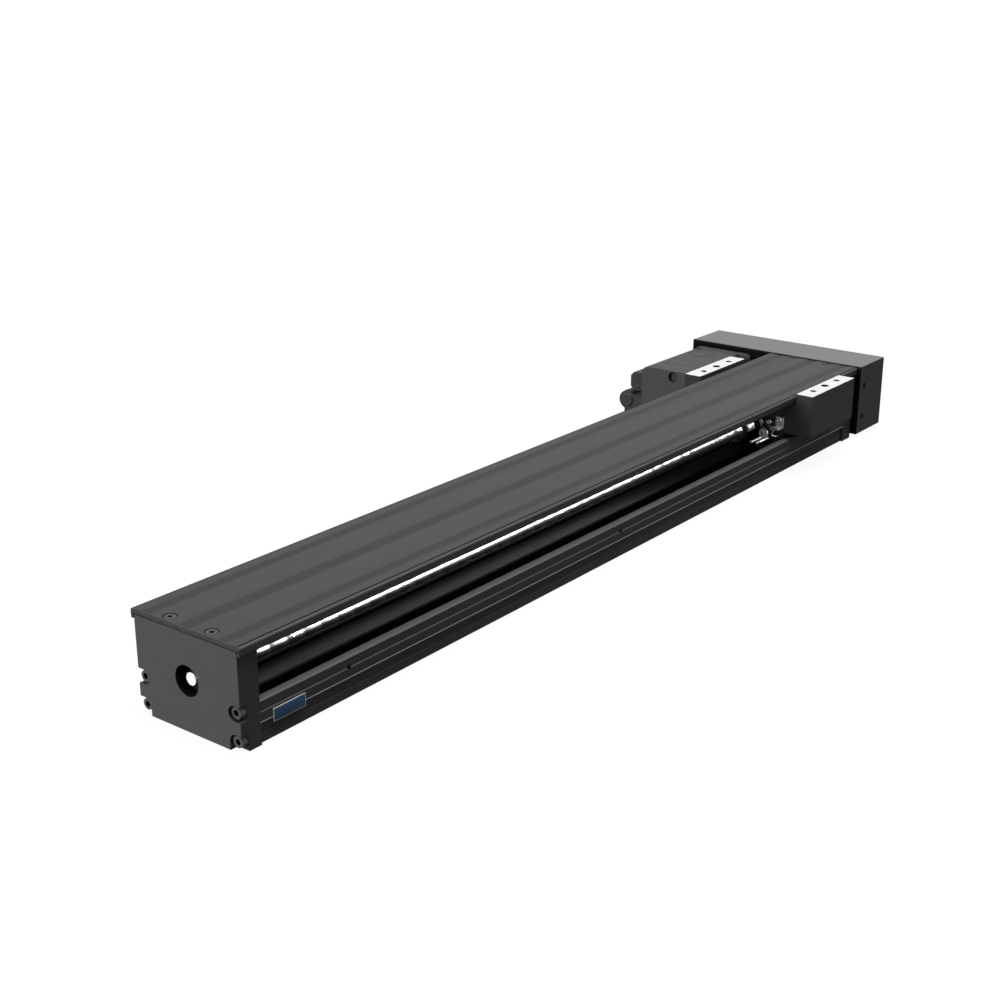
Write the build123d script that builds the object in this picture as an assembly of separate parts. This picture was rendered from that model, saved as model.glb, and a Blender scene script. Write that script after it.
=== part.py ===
from build123d import *
import math
import os

# Ball screw linear module, in millimetres.
# The origin is the middle of the base's underside.
# +X runs from the idle end to the drive end, +Y towards the motor, +Z up.

os.makedirs("parts", exist_ok=True)

# Driving dimensions

# Base extrusion
base_length = 1000.0
base_width = 117.3
foot_inset = 2.6
foot_height = 17.6
wall_height = 37.7
wall_thickness = 9.4
wall_crown = 1.2
channel_floor = 5.5
deck_height = 22.0
deck_gap = 2.0
side_groove_height = 28.9
side_groove_depth = 1.0
foot_groove_height = 9.0
foot_groove_depth = 0.8
side_hole_pitch = 400.0
side_hole_radius = 1.65
side_hole_depth = 7.0
foot_hole_pitch = 200.0
foot_hole_inset = 6.15
foot_hole_radius = 2.1
foot_hole_depth = 12.0

# End plates
plate_thickness = 21.0
plate_height = 86.9
screw_height = 45.3

# Cap screws that hold the plates on the base
plate_screw_inset = 6.15
plate_screw_heights = (8.3, 33.1)
m6_radius = 3.0
m6_head_radius = 5.0
m6_head_height = 6.0
m6_socket_width = 5.0
plate_screw_length = 30.0
notch_radius = 6.8
notch_depth = 8.0

# Cover
cover_thickness = 4.5
cover_drop = 8.6
cover_side_gap = 0.75
cover_lip_thickness = 2.4
cover_edge_radius = 2.2
cover_groove_depth = 0.4
cover_groove_slope = 2.5
cover_groove_width = 15.0
cover_side_groove_width = 11.0
cover_side_groove_inset = 17.8
cover_line_width = 0.6
cover_screw_y = 23.9
cover_screw_inset = 7.9
m5_radius = 2.5
m5_head_radius = 5.0
m5_head_height = 2.8
m5_socket_width = 3.0
cover_sink_gap = 0.7
cover_head_recess = 0.4
cover_screw_length = 12.0

# Guide rails and blocks
guide_wall_gap = 1.25
rail_width = 15.0
rail_height = 13.0
rail_end_gap = 10.0
rail_waist = 1.4
rail_screw_pitch = 60.0
rail_screw_margin = 40.0
m4_radius = 2.0
m4_head_radius = 3.5
m4_head_height = 4.0
m4_socket_width = 3.0
rail_head_depth = 5.0
rail_screw_length = 12.0
guide_width = 34.0
guide_top = 29.5
guide_bottom = 10.5
guide_body_length = 28.0
guide_cap_length = 5.0
guide_spacing = 62.0
guide_clearance = 0.3
guide_screw_spread = 26.0
guide_screw_length = 11.0
guide_screw_hole = 6.0
guide_screw_floor = 6.0

# Carriage
carriage_length = 108.0
carriage_end_gap = 37.0
ear_width = 21.4
ear_gap = 2.8
ear_rise = 3.1
ear_wall_gap = 7.2
ear_chamfer = 0.4
carriage_wall_gap = 1.05
carriage_roof_gap = 5.6
ear_hole_pitch = 60.0
ear_hole_inset = 12.0
ear_thread_radius = 3.4
ear_thread_depth = 18.0
ear_pin_radius = 4.5
ear_pin_depth = 10.0

# Ball screw and nut
screw_radius = 10.0
idle_journal_radius = 6.0
idle_end_recess = 4.4
idle_shoulder_rise = 2.0
idle_shoulder_gap = 1.0
thread_end_gap = 5.0
shaft_end_rise = 1.0
drive_journal_radius = 7.5
pulley_shaft_radius = 6.0
journal_shoulder_radius = 9.0
nut_radius = 18.0
nut_length = 40.0
nut_bore_gap = 0.2
nut_thread_gap = 0.1
nut_flange_radius = 26.0
nut_flange_flat = 20.5
nut_flange_thickness = 10.0
nut_front_length = 14.0
nut_screw_circle = 22.0
nut_screw_radius = 2.5
nut_screw_head_radius = 4.25
nut_screw_head_height = 5.0
nut_screw_socket_width = 4.0
nut_screw_length = 16.0

# Bearings
idle_bearing_outer = 14.0
idle_bearing_width = 8.0
drive_bearing_outer = 16.0
drive_bearing_width = 9.0
drive_bearing_count = 2
front_bore_radius = 13.4
drive_shoulder_radius = 12.0
retainer_radius = 25.0
retainer_thickness = 3.0
retainer_bore = 13.0
retainer_screw_circle = 20.5
lock_nut_radius = 12.0
lock_nut_length = 8.0
lock_nut_slot_width = 4.0
lock_nut_slot_depth = 2.0

# Bumpers
bumper_radius = 8.0
bumper_length = 10.0
bumper_chamfer = 1.2
bumper_stud_length = 7.0
bumper_height = 42.0

# Belt housing
housing_side_rise = 8.8
housing_motor_margin = 7.1
housing_bottom = 5.5
housing_rise = 1.4
housing_depth = 65.4
housing_edge_radius = 1.0
housing_wall = 2.5
belt_plate_thickness = 18.0
housing_screw_inset = 12.7
housing_screw_margins = (21.6, 25.7)
belt_plate_screw_inset = 12.65
belt_plate_screw_low = 20.0
belt_plate_screw_drop = 10.9
belt_plate_screw_grip = 12.0
m3_radius = 1.5
m3_head_radius = 2.7
m3_length = 8.0
m3_head_height = 3.0
m3_socket_width = 2.5
m3_flat_head_height = 1.2

# Timing belt drive
belt_pitch = 5.0
belt_width = 15.0
pulley_teeth = 34
belt_pitch_offset = 0.57
belt_back = 1.72
belt_running_gap = 0.1
tooth_depth = 2.0
tooth_width = 3.0
pulley_flange_rise = 2.4
pulley_flange_thickness = 1.5
pulley_side_gap = 1.0
pulley_hub_radius = 16.0
pulley_hub_gap = 2.0

# Motor
motor_size = 80.0
motor_length = 135.0
motor_corner_radius = 9.0
motor_flange_thickness = 10.0
motor_flange_corner = 6.0
motor_rear_length = 33.0
motor_seam = 0.8
motor_ear_gap = 1.2
motor_screw_circle = 90.0
motor_screw_margin = 2.0
motor_pilot_radius = 35.0
motor_pilot_height = 3.0
motor_shaft_radius = 9.5
motor_shaft_gap = 0.5
motor_rear_wall = 12.0
motor_shaft_start = 14.0
motor_scallop_length = 12.0
motor_scallop_radius = 6.0
signal_plug_depth = 16.7
signal_plug_bottom = 52.0
signal_plug_top = 75.0
signal_plug_length = 26.0
signal_plug_chamfer = 4.5
power_plug_radius = 12.0
power_plug_height = 37.0
power_plug_length = 38.0
power_base_depth = 25.3
power_base_bottom = 12.0
power_base_top = 29.0
power_neck_half = 8.0
power_plug_overhang = 8.0
rear_recess_y = -5.5
rear_recess_z = 31.7
rear_recess_radius = 6.8
rear_recess_depth = 5.0

# Small clearances, and the depth of threads and holes past a screw's tip
hole_gap = 0.3
running_gap = 0.05
seam_chamfer = 0.4
edge_match = 0.01

# Sizes that follow from the driving dimensions
half_length = base_length / 2
half_width = base_width / 2
foot_half = half_width - foot_inset
wall_inner = half_width - wall_thickness
plate_out = half_length + plate_thickness
plate_screw_y = half_width - plate_screw_inset
foot_hole_y = half_width - foot_hole_inset
rail_y = wall_inner - guide_wall_gap - guide_width / 2
rail_end = half_length - rail_end_gap
deck_half = rail_y - guide_width / 2 - deck_gap
cover_top = plate_height + cover_thickness
cover_inner = half_width + cover_side_gap
cover_half = cover_inner + cover_lip_thickness
carriage_x = half_length - carriage_end_gap - carriage_length / 2
carriage_core_half = wall_inner - carriage_wall_gap
carriage_roof = plate_height - carriage_roof_gap
ear_inner = cover_half + ear_gap
ear_top = cover_top + ear_rise
ear_bottom = wall_height + ear_wall_gap
carriage_half_width = ear_inner + ear_width
ear_hole_y = carriage_half_width - ear_hole_inset
belt_plate_back = plate_out + belt_plate_thickness
housing_back = plate_out + housing_depth
pulley_pitch_radius = pulley_teeth * belt_pitch / (2 * math.pi)
pulley_radius = pulley_pitch_radius - belt_pitch_offset
motor_half = motor_size / 2
motor_least_y = carriage_half_width + motor_ear_gap + motor_half
belt_teeth = pulley_teeth + math.ceil(motor_least_y / (belt_pitch / 2))
motor_y = (belt_teeth - pulley_teeth) * belt_pitch / 2
housing_right = -half_width - housing_side_rise
housing_left = motor_y + motor_half + housing_motor_margin
housing_top = cover_top + housing_rise
housing_screw_heights = (housing_bottom + housing_screw_margins[0],
                         housing_top - housing_screw_margins[1])
belt_plate_screw_y = half_width - belt_plate_screw_inset
belt_plate_screw_heights = (belt_plate_screw_low, plate_height - belt_plate_screw_drop)
motor_rear = plate_out - motor_length
motor_flange_front = plate_out - motor_flange_thickness
motor_hole_offset = motor_screw_circle / 2 / math.sqrt(2)
near_face = carriage_x - carriage_length / 2
far_face = carriage_x + carriage_length / 2
pulley_start = belt_plate_back + pulley_side_gap + pulley_flange_thickness
pulley_end = pulley_start + belt_width + 2 * pulley_side_gap
belt_start = pulley_start + pulley_side_gap


def along_x(start, end, radius, y=0.0, z=0.0):
    """A round bar parallel to X."""
    bar = Cylinder(radius, end - start, align=(Align.CENTER, Align.CENTER, Align.MIN))
    return Pos(start, y, z) * Rot(0, 90, 0) * bar


def along_y(start, end, radius, x=0.0, z=0.0):
    """A round bar parallel to Y."""
    bar = Cylinder(radius, end - start, align=(Align.CENTER, Align.CENTER, Align.MIN))
    return Pos(x, start, z) * Rot(-90, 0, 0) * bar


def along_z(start, end, radius, x=0.0, y=0.0):
    """A round bar parallel to Z."""
    bar = Cylinder(radius, end - start, align=(Align.CENTER, Align.CENTER, Align.MIN))
    return Pos(x, y, start) * bar


def block(x, y, z):
    """A box between the given (low, high) pairs."""
    box = Box(x[1] - x[0], y[1] - y[0], z[1] - z[0], align=(Align.MIN, Align.MIN, Align.MIN))
    return Pos(x[0], y[0], z[0]) * box


def profile_along_x(points, start, end):
    """A closed outline of (y, z) points, extruded along X."""
    outline = Polyline(*[(start, y, z) for y, z in points], close=True)
    return extrude(make_face(outline), end - start, dir=(1, 0, 0))


def mirrored(points):
    """A half outline on +Y, from the bottom to the top, completed on -Y."""
    return points + [(-y, z) for y, z in reversed(points) if y > 0]


def hex_socket(width, depth):
    """A hexagonal socket that opens at z = 0 and goes down."""
    face = make_face(RegularPolygon(width / 2, 6, major_radius=False))
    return Pos(0, 0, -depth) * extrude(face, depth + 1)


def cap_screw(radius, length, head_radius, head_height, socket):
    """A socket head cap screw along -Z, with the underside of its head at z = 0."""
    head = along_z(0, head_height, head_radius)
    shank = along_z(-length, 0, radius)
    return head + shank - Pos(0, 0, head_height) * hex_socket(socket, head_height / 2)


def countersunk_screw(radius, length, head_radius, head_height, socket):
    """A countersunk screw along -Z, with the top of its head at z = 0."""
    cone = Cone(radius, head_radius, head_height, align=(Align.CENTER, Align.CENTER, Align.MAX))
    shank = along_z(-length, -head_height, radius)
    return cone + shank - hex_socket(socket, head_height * 0.6)


def facing(part, x, y, z, direction):
    """The part, drawn with its outside along +Z, moved so that its outside faces direction."""
    turn = {"-X": Rot(0, -90, 0), "+X": Rot(0, 90, 0), "-Y": Rot(90, 0, 0),
            "+Y": Rot(-90, 0, 0), "+Z": Rot(0, 0, 0)}[direction]
    return Pos(x, y, z) * turn * part


def save(name, *shapes):
    """Writes one node, made of one or more separate solids."""
    solids = []
    for shape in shapes:
        solids.extend(shape.solids())
    body = solids[0] if len(solids) == 1 else Compound(solids)
    body.label = name
    export_step(body, f"parts/{name}.step")


def groove(y, z, depth, side):
    """Points of a small V-groove in a side wall at height z, from the bottom up."""
    return [(side * y, z - depth), (side * (y - depth), z), (side * y, z + depth)]


# Base extrusion

def base_outline():
    """Half of the section: stepped foot, grooved side, wall, channel and middle deck."""
    crown = wall_crown
    right = [(0.0, 0.0), (foot_half, 0.0)]
    right += groove(foot_half, foot_groove_height, foot_groove_depth, 1)
    right += [(foot_half, foot_height), (half_width, foot_height + foot_inset / 2)]
    right += groove(half_width, side_groove_height, side_groove_depth, 1)
    right += [(half_width, wall_height - crown), (half_width - crown, wall_height)]
    right += [(wall_inner + crown, wall_height), (wall_inner, wall_height - crown)]
    right += [(wall_inner, channel_floor), (deck_half, channel_floor)]
    right += [(deck_half, deck_height), (0.0, deck_height)]
    return mirrored(right)


def foot_hole_places():
    """The tapped holes in the underside, in pairs along the base."""
    steps = int((base_length - foot_hole_pitch) / 2 / foot_hole_pitch)
    xs = [i * foot_hole_pitch for i in range(-steps, steps + 1)]
    return [(x, side * foot_hole_y) for x in xs for side in (-1, 1)]


def side_hole_places():
    steps = int((base_length - side_hole_pitch / 4) / 2 / side_hole_pitch)
    return [i * side_hole_pitch for i in range(-steps, steps + 1)]


def rail_screw_places():
    """Places along a rail, evenly spaced and centred on it."""
    steps = int(2 * (rail_end - rail_screw_margin) / rail_screw_pitch)
    return [(i - steps / 2) * rail_screw_pitch for i in range(steps + 1)]


def plate_screw_places():
    return [(side * plate_screw_y, z) for side in (-1, 1) for z in plate_screw_heights]


rail_seat = channel_floor + rail_height - rail_head_depth
plate_screw_grip = plate_screw_length - (plate_thickness - notch_depth)


def base_extrusion():
    body = profile_along_x(base_outline(), -half_length, half_length)
    holes = []
    for x, y in foot_hole_places():
        holes.append(along_z(-1, foot_hole_depth, foot_hole_radius, x, y))
    for x in side_hole_places():
        inner = half_width - side_hole_depth
        holes.append(along_y(inner, half_width + 1, side_hole_radius, x, side_groove_height))
        holes.append(along_y(-half_width - 1, -inner, side_hole_radius, x, side_groove_height))
    tip = rail_seat - rail_screw_length
    for x in rail_screw_places():
        for y in (-rail_y, rail_y):
            holes.append(along_z(tip, channel_floor + 1, m4_radius, x, y))
    for y, z in plate_screw_places():
        holes.append(along_x(-half_length - 1, -half_length + plate_screw_grip, m6_radius, y, z))
        holes.append(along_x(half_length - plate_screw_grip, half_length + 1, m6_radius, y, z))
    return body - holes


save("base_extrusion", base_extrusion())


# Cover, one extrusion over the whole length with a lip down each side

def cover_outline():
    """Half of the section: lip, top edge with a fine line inside it, and shallow grooves."""
    lip_foot = cover_top - cover_drop
    line = cover_half - cover_edge_radius
    floor = cover_top - cover_groove_depth
    middle = cover_half - cover_side_groove_inset
    low = middle - cover_side_groove_width / 2
    high = middle + cover_side_groove_width / 2
    slope = cover_groove_slope
    centre = cover_groove_width / 2
    right = [(0.0, plate_height), (cover_inner, plate_height), (cover_inner, lip_foot)]
    right += [(cover_half, lip_foot), (cover_half, cover_top), (line, cover_top)]
    right += [(line - cover_line_width / 2, cover_top - cover_line_width)]
    right += [(line - cover_line_width, cover_top)]
    right += [(high, cover_top), (high - slope, floor), (low + slope, floor), (low, cover_top)]
    right += [(centre, cover_top), (centre - slope, floor), (0.0, floor)]
    return mirrored(right)


def cover_screw_places():
    ends = (-plate_out + cover_screw_inset, plate_out - cover_screw_inset)
    return [(x, side * cover_screw_y) for x in ends for side in (-1, 1)]


def top_cover():
    body = profile_along_x(cover_outline(), -plate_out, plate_out)
    top_corners = [edge for edge in body.edges().filter_by(Axis.X)
                   if abs(edge.center().Y) > cover_half - edge_match
                   and edge.center().Z > cover_top - edge_match]
    body = fillet(top_corners, cover_edge_radius - edge_match)
    holes = []
    for x, y in cover_screw_places():
        sink = Cone(m5_radius, m5_head_radius + cover_sink_gap, m5_head_height + cover_sink_gap,
                    align=(Align.CENTER, Align.CENTER, Align.MAX))
        holes.append(Pos(x, y, cover_top) * sink)
        holes.append(along_z(plate_height - 1, cover_top + 1, m5_radius + hole_gap, x, y))
    return body - holes


save("top_cover", top_cover())

cover_screws = []
for x, y in cover_screw_places():
    screw = countersunk_screw(m5_radius, cover_screw_length, m5_head_radius, m5_head_height,
                              m5_socket_width)
    cover_screws.append(Pos(x, y, cover_top - cover_head_recess) * screw)
save("cover_screws", *cover_screws)


# End plates

idle_pocket_depth = idle_bearing_width + idle_shoulder_gap
drive_pocket_depth = drive_bearing_width * drive_bearing_count


def plate_blank(start, end):
    """A plate the full width of the base, with a fine chamfer round its outer face."""
    body = block((start, end), (-half_width, half_width), (0.0, plate_height))
    outer_face = body.faces().sort_by(Axis.X)[0 if start < 0 else -1]
    body = chamfer(outer_face.edges(), seam_chamfer)
    depth = cover_screw_length - cover_thickness + cover_head_recess + 1
    for x, y in cover_screw_places():
        if start < x < end:
            body -= along_z(plate_height - depth, plate_height + 1, m5_radius, x, y)
    return body


def near_end_plate():
    body = plate_blank(-plate_out, -half_length)
    body -= along_x(-plate_out - 1, -half_length + 1, front_bore_radius, 0, screw_height)
    pocket = -half_length - idle_pocket_depth
    body -= along_x(pocket, -half_length + 1, idle_bearing_outer, 0, screw_height)
    for y, z in plate_screw_places():
        seat = -plate_out + notch_depth
        out = math.copysign(half_width + 1, y)
        body -= along_x(-plate_out - 1, seat, notch_radius, y, z)
        body -= block((-plate_out - 1, seat), sorted((y, out)), (z - notch_radius, z + notch_radius))
        if z < 2 * notch_radius:
            corner = y - math.copysign(notch_radius, y)
            body -= block((-plate_out - 1, seat), sorted((corner, out)), (-1, z))
        body -= along_x(seat - 1, -half_length + 1, m6_radius + hole_gap, y, z)
    for side in (-1, 1):
        body -= along_x(-half_length - bumper_stud_length - 1, -half_length + 1, m4_radius,
                        side * rail_y, bumper_height)
    return body


def far_end_block():
    body = plate_blank(half_length, plate_out)
    body -= along_x(half_length - 1, plate_out + 1, drive_shoulder_radius, 0, screw_height)
    pocket = plate_out - drive_pocket_depth
    body -= along_x(pocket, plate_out + 1, drive_bearing_outer, 0, screw_height)
    seat = plate_out - notch_depth
    for y, z in plate_screw_places():
        body -= along_x(seat, plate_out + 1, m6_head_radius + hole_gap, y, z)
        body -= along_x(half_length - 1, seat + 1, m6_radius + hole_gap, y, z)
    for y, z in retainer_screw_places():
        body -= along_x(plate_out - m3_length, plate_out + 1, m3_radius, y, z)
    for y, z in belt_plate_screw_places():
        body -= along_x(plate_out - belt_plate_screw_grip - 1, plate_out + 1, m6_radius, y, z)
    for side in (-1, 1):
        body -= along_x(half_length - 1, half_length + bumper_stud_length + 1, m4_radius,
                        side * rail_y, bumper_height)
    return body


def retainer_screw_places():
    places = []
    for i in range(4):
        angle = math.radians(45 + 90 * i)
        places.append((retainer_screw_circle * math.cos(angle),
                       screw_height + retainer_screw_circle * math.sin(angle)))
    return places


def belt_plate_screw_places():
    return [(side * belt_plate_screw_y, z) for side in (-1, 1) for z in belt_plate_screw_heights]


save("near_end_plate", near_end_plate())
save("far_end_block", far_end_block())

end_screw = cap_screw(m6_radius, plate_screw_length, m6_head_radius, m6_head_height, m6_socket_width)
save("near_plate_screws", *[facing(end_screw, -plate_out + notch_depth, y, z, "-X")
                            for y, z in plate_screw_places()])
save("far_block_screws", *[facing(end_screw, plate_out - notch_depth, y, z, "+X")
                           for y, z in plate_screw_places()])


# Bumpers, rubber buffers screwed to the inner faces of both ends

def bumper():
    pad = along_z(0, bumper_length, bumper_radius)
    pad = chamfer(pad.edges().group_by(Axis.Z)[-1], bumper_chamfer)
    return pad + along_z(-bumper_stud_length, 0, m4_radius)


save("bumpers_idle_end", *[facing(bumper(), -half_length, side * rail_y, bumper_height, "+X")
                           for side in (-1, 1)])
save("bumpers_drive_end", *[facing(bumper(), half_length, side * rail_y, bumper_height, "-X")
                            for side in (-1, 1)])


# Guide rails

def rail_outline(centre):
    half = rail_width / 2
    top = channel_floor + rail_height
    waist = half - rail_waist
    points = [(half, channel_floor), (half, channel_floor + rail_height * 0.3)]
    points += [(waist, channel_floor + rail_height * 0.45), (waist, channel_floor + rail_height * 0.65)]
    points += [(half, channel_floor + rail_height * 0.8), (half, top - 0.8), (half - 0.8, top)]
    outline = points + [(-y, z) for y, z in reversed(points)]
    return [(centre + y, z) for y, z in outline]


def guide_rail(centre):
    rail = profile_along_x(rail_outline(centre), -rail_end, rail_end)
    holes = []
    for x in rail_screw_places():
        holes.append(along_z(rail_seat, channel_floor + rail_height + 1,
                             m4_head_radius + hole_gap, x, centre))
        holes.append(along_z(channel_floor - 1, rail_seat + 1, m4_radius + hole_gap, x, centre))
    return rail - holes


rail_screw = cap_screw(m4_radius, rail_screw_length, m4_head_radius, m4_head_height, m4_socket_width)
for side, name in ((-1, "right"), (1, "left")):
    save(f"guide_rail_{name}", guide_rail(side * rail_y))
    save(f"rail_screws_{name}", *[Pos(x, side * rail_y, rail_seat) * rail_screw
                                  for x in rail_screw_places()])


# Guide blocks, which wrap the rails and carry the carriage

def guide_section(centre, grow, start, end):
    """An inverted U around the rail, with its feet turned in at the waist of the rail."""
    half = guide_width / 2 - grow
    gap = guide_clearance + grow
    slot = rail_width / 2 + gap
    roof = channel_floor + rail_height + gap
    points = [(slot, guide_bottom + grow), (half, guide_bottom + grow), (half, guide_top - grow)]
    points += [(-half, guide_top - grow), (-half, guide_bottom + grow), (-slot, guide_bottom + grow)]
    points += [(-slot, roof), (slot, roof)]
    return profile_along_x([(centre + y, z) for y, z in points], start, end)


def guide_block_places():
    return [(carriage_x + end * guide_spacing / 2, side * rail_y)
            for end in (-1, 1) for side in (-1, 1)]


block_names = ("idle_right", "idle_left", "drive_right", "drive_left")
for (x, y), name in zip(guide_block_places(), block_names):
    start = x - guide_body_length / 2
    end = x + guide_body_length / 2
    steel = guide_section(y, 0.0, start, end)
    for side in (-1, 1):
        place = y + side * guide_screw_spread / 2
        steel -= along_z(guide_top - guide_screw_hole, guide_top + 1, m4_radius, x, place)
    save(f"guide_block_{name}", steel)
    save(f"guide_caps_{name}", guide_section(y, 0.4, start - guide_cap_length, start),
         guide_section(y, 0.4, end, end + guide_cap_length))


# Carriage, a one-piece bridge whose ears stand outside the cover

def nut_screw_places():
    places = []
    for angle in (-32, 32, 148, 212):
        turn = math.radians(angle)
        places.append((nut_screw_circle * math.cos(turn),
                       screw_height + nut_screw_circle * math.sin(turn)))
    return places


guide_screw_seat = guide_top + guide_screw_floor


def carriage_block():
    half = [(0.0, guide_top), (carriage_core_half, guide_top), (carriage_core_half, ear_bottom)]
    half += [(carriage_half_width, ear_bottom), (carriage_half_width, ear_top)]
    half += [(ear_inner, ear_top), (ear_inner, carriage_roof), (0.0, carriage_roof)]
    body = profile_along_x(mirrored(half), near_face, far_face)
    ear_edges = [edge for edge in body.edges() if edge.center().Z > ear_top - edge_match]
    body = chamfer(ear_edges, ear_chamfer)
    body -= along_x(near_face - 1, far_face + 1, nut_radius + nut_bore_gap, 0, screw_height)
    for y, z in nut_screw_places():
        body -= along_x(near_face - 1, near_face + nut_screw_length, nut_screw_radius, y, z)
    for side in (-1, 1):
        for step in (-1, 1):
            x = carriage_x + step * ear_hole_pitch / 2
            body -= along_z(ear_top - ear_thread_depth, ear_top + 1, ear_thread_radius, x,
                            side * ear_hole_y)
        body -= along_z(ear_top - ear_pin_depth, ear_top + 1, ear_pin_radius, carriage_x,
                        side * ear_hole_y)
    for x, y in guide_block_places():
        for side in (-1, 1):
            place = y + side * guide_screw_spread / 2
            body -= along_z(guide_top - 1, guide_screw_seat + 1, m4_radius + hole_gap, x, place)
            body -= along_z(guide_screw_seat, carriage_roof + 1, m4_head_radius + hole_gap, x, place)
    for y, z in grease_screw_places() + flag_screw_places():
        body -= along_x(near_face - 1, near_face + m3_length, m3_radius, y, z)
    return body


# Ball nut and ball screw

nut_front = near_face - nut_flange_thickness - nut_front_length
nut_back = nut_front + nut_length


def ball_nut():
    body = along_x(nut_front, nut_back, nut_radius, 0, screw_height)
    flange = along_x(near_face - nut_flange_thickness, near_face, nut_flange_radius, 0, screw_height)
    keep = block((near_face - nut_flange_thickness, near_face),
                 (-nut_flange_radius, nut_flange_radius),
                 (screw_height - nut_flange_flat, screw_height + nut_flange_flat))
    body += flange & keep
    body -= along_x(nut_front - 1, nut_back + 1, screw_radius + nut_thread_gap, 0, screw_height)
    for y, z in nut_screw_places():
        body -= along_x(near_face - nut_flange_thickness - 1, near_face + 1,
                        nut_screw_radius + hole_gap, y, z)
        body -= along_x(near_face - nut_flange_thickness - 1, near_face - nut_flange_thickness / 2,
                        nut_screw_head_radius + hole_gap, y, z)
    return body


idle_seat = -half_length - idle_shoulder_gap
drive_seat = plate_out - drive_pocket_depth
thread_start = -half_length + thread_end_gap
thread_end = half_length - thread_end_gap
pulley_shaft_end = pulley_end + pulley_flange_thickness + shaft_end_rise


def turned_shaft(steps):
    """A stepped shaft on the X axis at the height of the screw: (start, end, radius) steps."""
    shaft = None
    for start, end, radius in steps:
        piece = along_x(start, end, radius, 0, screw_height)
        shaft = piece if shaft is None else shaft + piece
    return shaft


idle_shoulder_radius = idle_journal_radius + idle_shoulder_rise
ball_screw = turned_shaft([
    (-plate_out + idle_end_recess, idle_seat, idle_journal_radius),
    (idle_seat, thread_start, idle_shoulder_radius),
    (thread_start, thread_end, screw_radius),
    (thread_end, drive_seat, journal_shoulder_radius),
    (drive_seat, plate_out + lock_nut_length, drive_journal_radius),
    (plate_out + lock_nut_length, pulley_shaft_end, pulley_shaft_radius),
])
save("ball_screw", ball_screw)
save("ball_nut", ball_nut())

nut_screw = cap_screw(nut_screw_radius, nut_screw_length, nut_screw_head_radius,
                      nut_screw_head_height, nut_screw_socket_width)
save("nut_screws", *[facing(nut_screw, near_face - nut_flange_thickness / 2, y, z, "-X")
                     for y, z in nut_screw_places()])

block_screw = cap_screw(m4_radius, guide_screw_length, m4_head_radius, m4_head_height,
                        m4_socket_width)
save("guide_block_screws", *[Pos(x, y + side * guide_screw_spread / 2, guide_screw_seat) * block_screw
                             for x, y in guide_block_places() for side in (-1, 1)])


# Grease fitting and sensor flag on the near face of the carriage

grease_y = -33.4
grease_height = 45.0
grease_block_width = 12.0
grease_block_height = 16.0
grease_block_depth = 12.0
grease_disc_radius = 5.7
grease_disc_length = 4.0
grease_pin_radius = 1.3
grease_pin_length = 18.0
grease_pin_spread = 7.0
grease_pin_rise = 2.0
grease_tab_thickness = 3.0
grease_tab_height = 6.0
flag_y = -45.5
flag_height = 57.0
flag_width = 10.0
flag_drop = 13.0
flag_reach = 14.0
flag_thickness = 1.5
flag_screw_rise = 3.0


def grease_screw_places():
    return [(grease_y, grease_height + grease_block_height / 2 + grease_tab_height / 2)]


def flag_screw_places():
    return [(flag_y, flag_height + flag_screw_rise)]


save("carriage_block", carriage_block())


def grease_fitting():
    front = near_face - grease_block_depth
    half = grease_block_width / 2
    body = block((front, near_face), (grease_y - half, grease_y + half),
                 (grease_height - grease_block_height / 2, grease_height + grease_block_height / 2))
    top = grease_height + grease_block_height / 2
    body += block((near_face - grease_tab_thickness, near_face), (grease_y - half, grease_y + half),
                  (top, top + grease_tab_height))
    body += along_x(front - grease_disc_length, front, grease_disc_radius, grease_y, grease_height)
    for side in (-1, 1):
        y = grease_y + side * grease_pin_spread / 2
        z = grease_height - grease_block_height / 2 + grease_pin_rise
        body += along_x(front - grease_pin_length, front, grease_pin_radius, y, z)
    for y, z in grease_screw_places():
        body -= along_x(near_face - grease_tab_thickness - 1, near_face + 1, m3_radius + hole_gap, y, z)
    return body


def sensor_flag():
    half = flag_width / 2
    wall = block((near_face - flag_thickness, near_face), (flag_y - half, flag_y + half),
                 (flag_height - flag_drop / 2, flag_height + flag_drop / 2))
    foot = block((near_face - flag_reach, near_face), (flag_y - half, flag_y + half),
                 (flag_height - flag_drop / 2, flag_height - flag_drop / 2 + flag_thickness))
    body = wall + foot
    for y, z in flag_screw_places():
        body -= along_x(near_face - flag_thickness - 1, near_face + 1, m3_radius + hole_gap, y, z)
    return body


save("grease_fitting", grease_fitting())
save("sensor_flag", sensor_flag())

small_screw = cap_screw(m3_radius, m3_length, m3_head_radius, m3_head_height, m3_socket_width)
save("bracket_screws",
     *[facing(small_screw, near_face - grease_tab_thickness, y, z, "-X")
       for y, z in grease_screw_places()],
     *[facing(small_screw, near_face - flag_thickness, y, z, "-X") for y, z in flag_screw_places()])


# Bearings, each an outer ring, an inner ring and its balls

def bearing(start, width, outer, inner, balls):
    """The outer ring, inner ring and balls of a deep groove bearing on the screw's axis."""
    pitch = (outer + inner) / 2
    ball = (outer - inner) * 0.27
    middle = start + width / 2
    ring_land = (outer - inner) * 0.28
    track = Pos(middle, 0, screw_height) * Rot(0, 90, 0) * Torus(pitch, ball + running_gap)
    outer_ring = along_x(start, start + width, outer, 0, screw_height)
    outer_ring -= along_x(start - 1, start + width + 1, outer - ring_land, 0, screw_height)
    inner_ring = along_x(start, start + width, inner + ring_land, 0, screw_height)
    inner_ring -= along_x(start - 1, start + width + 1, inner, 0, screw_height)
    row = []
    for i in range(balls):
        turn = 2 * math.pi * i / balls
        place = Pos(middle, pitch * math.cos(turn), screw_height + pitch * math.sin(turn))
        row.append(place * Sphere(ball))
    return outer_ring - track, inner_ring - track, row


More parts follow.
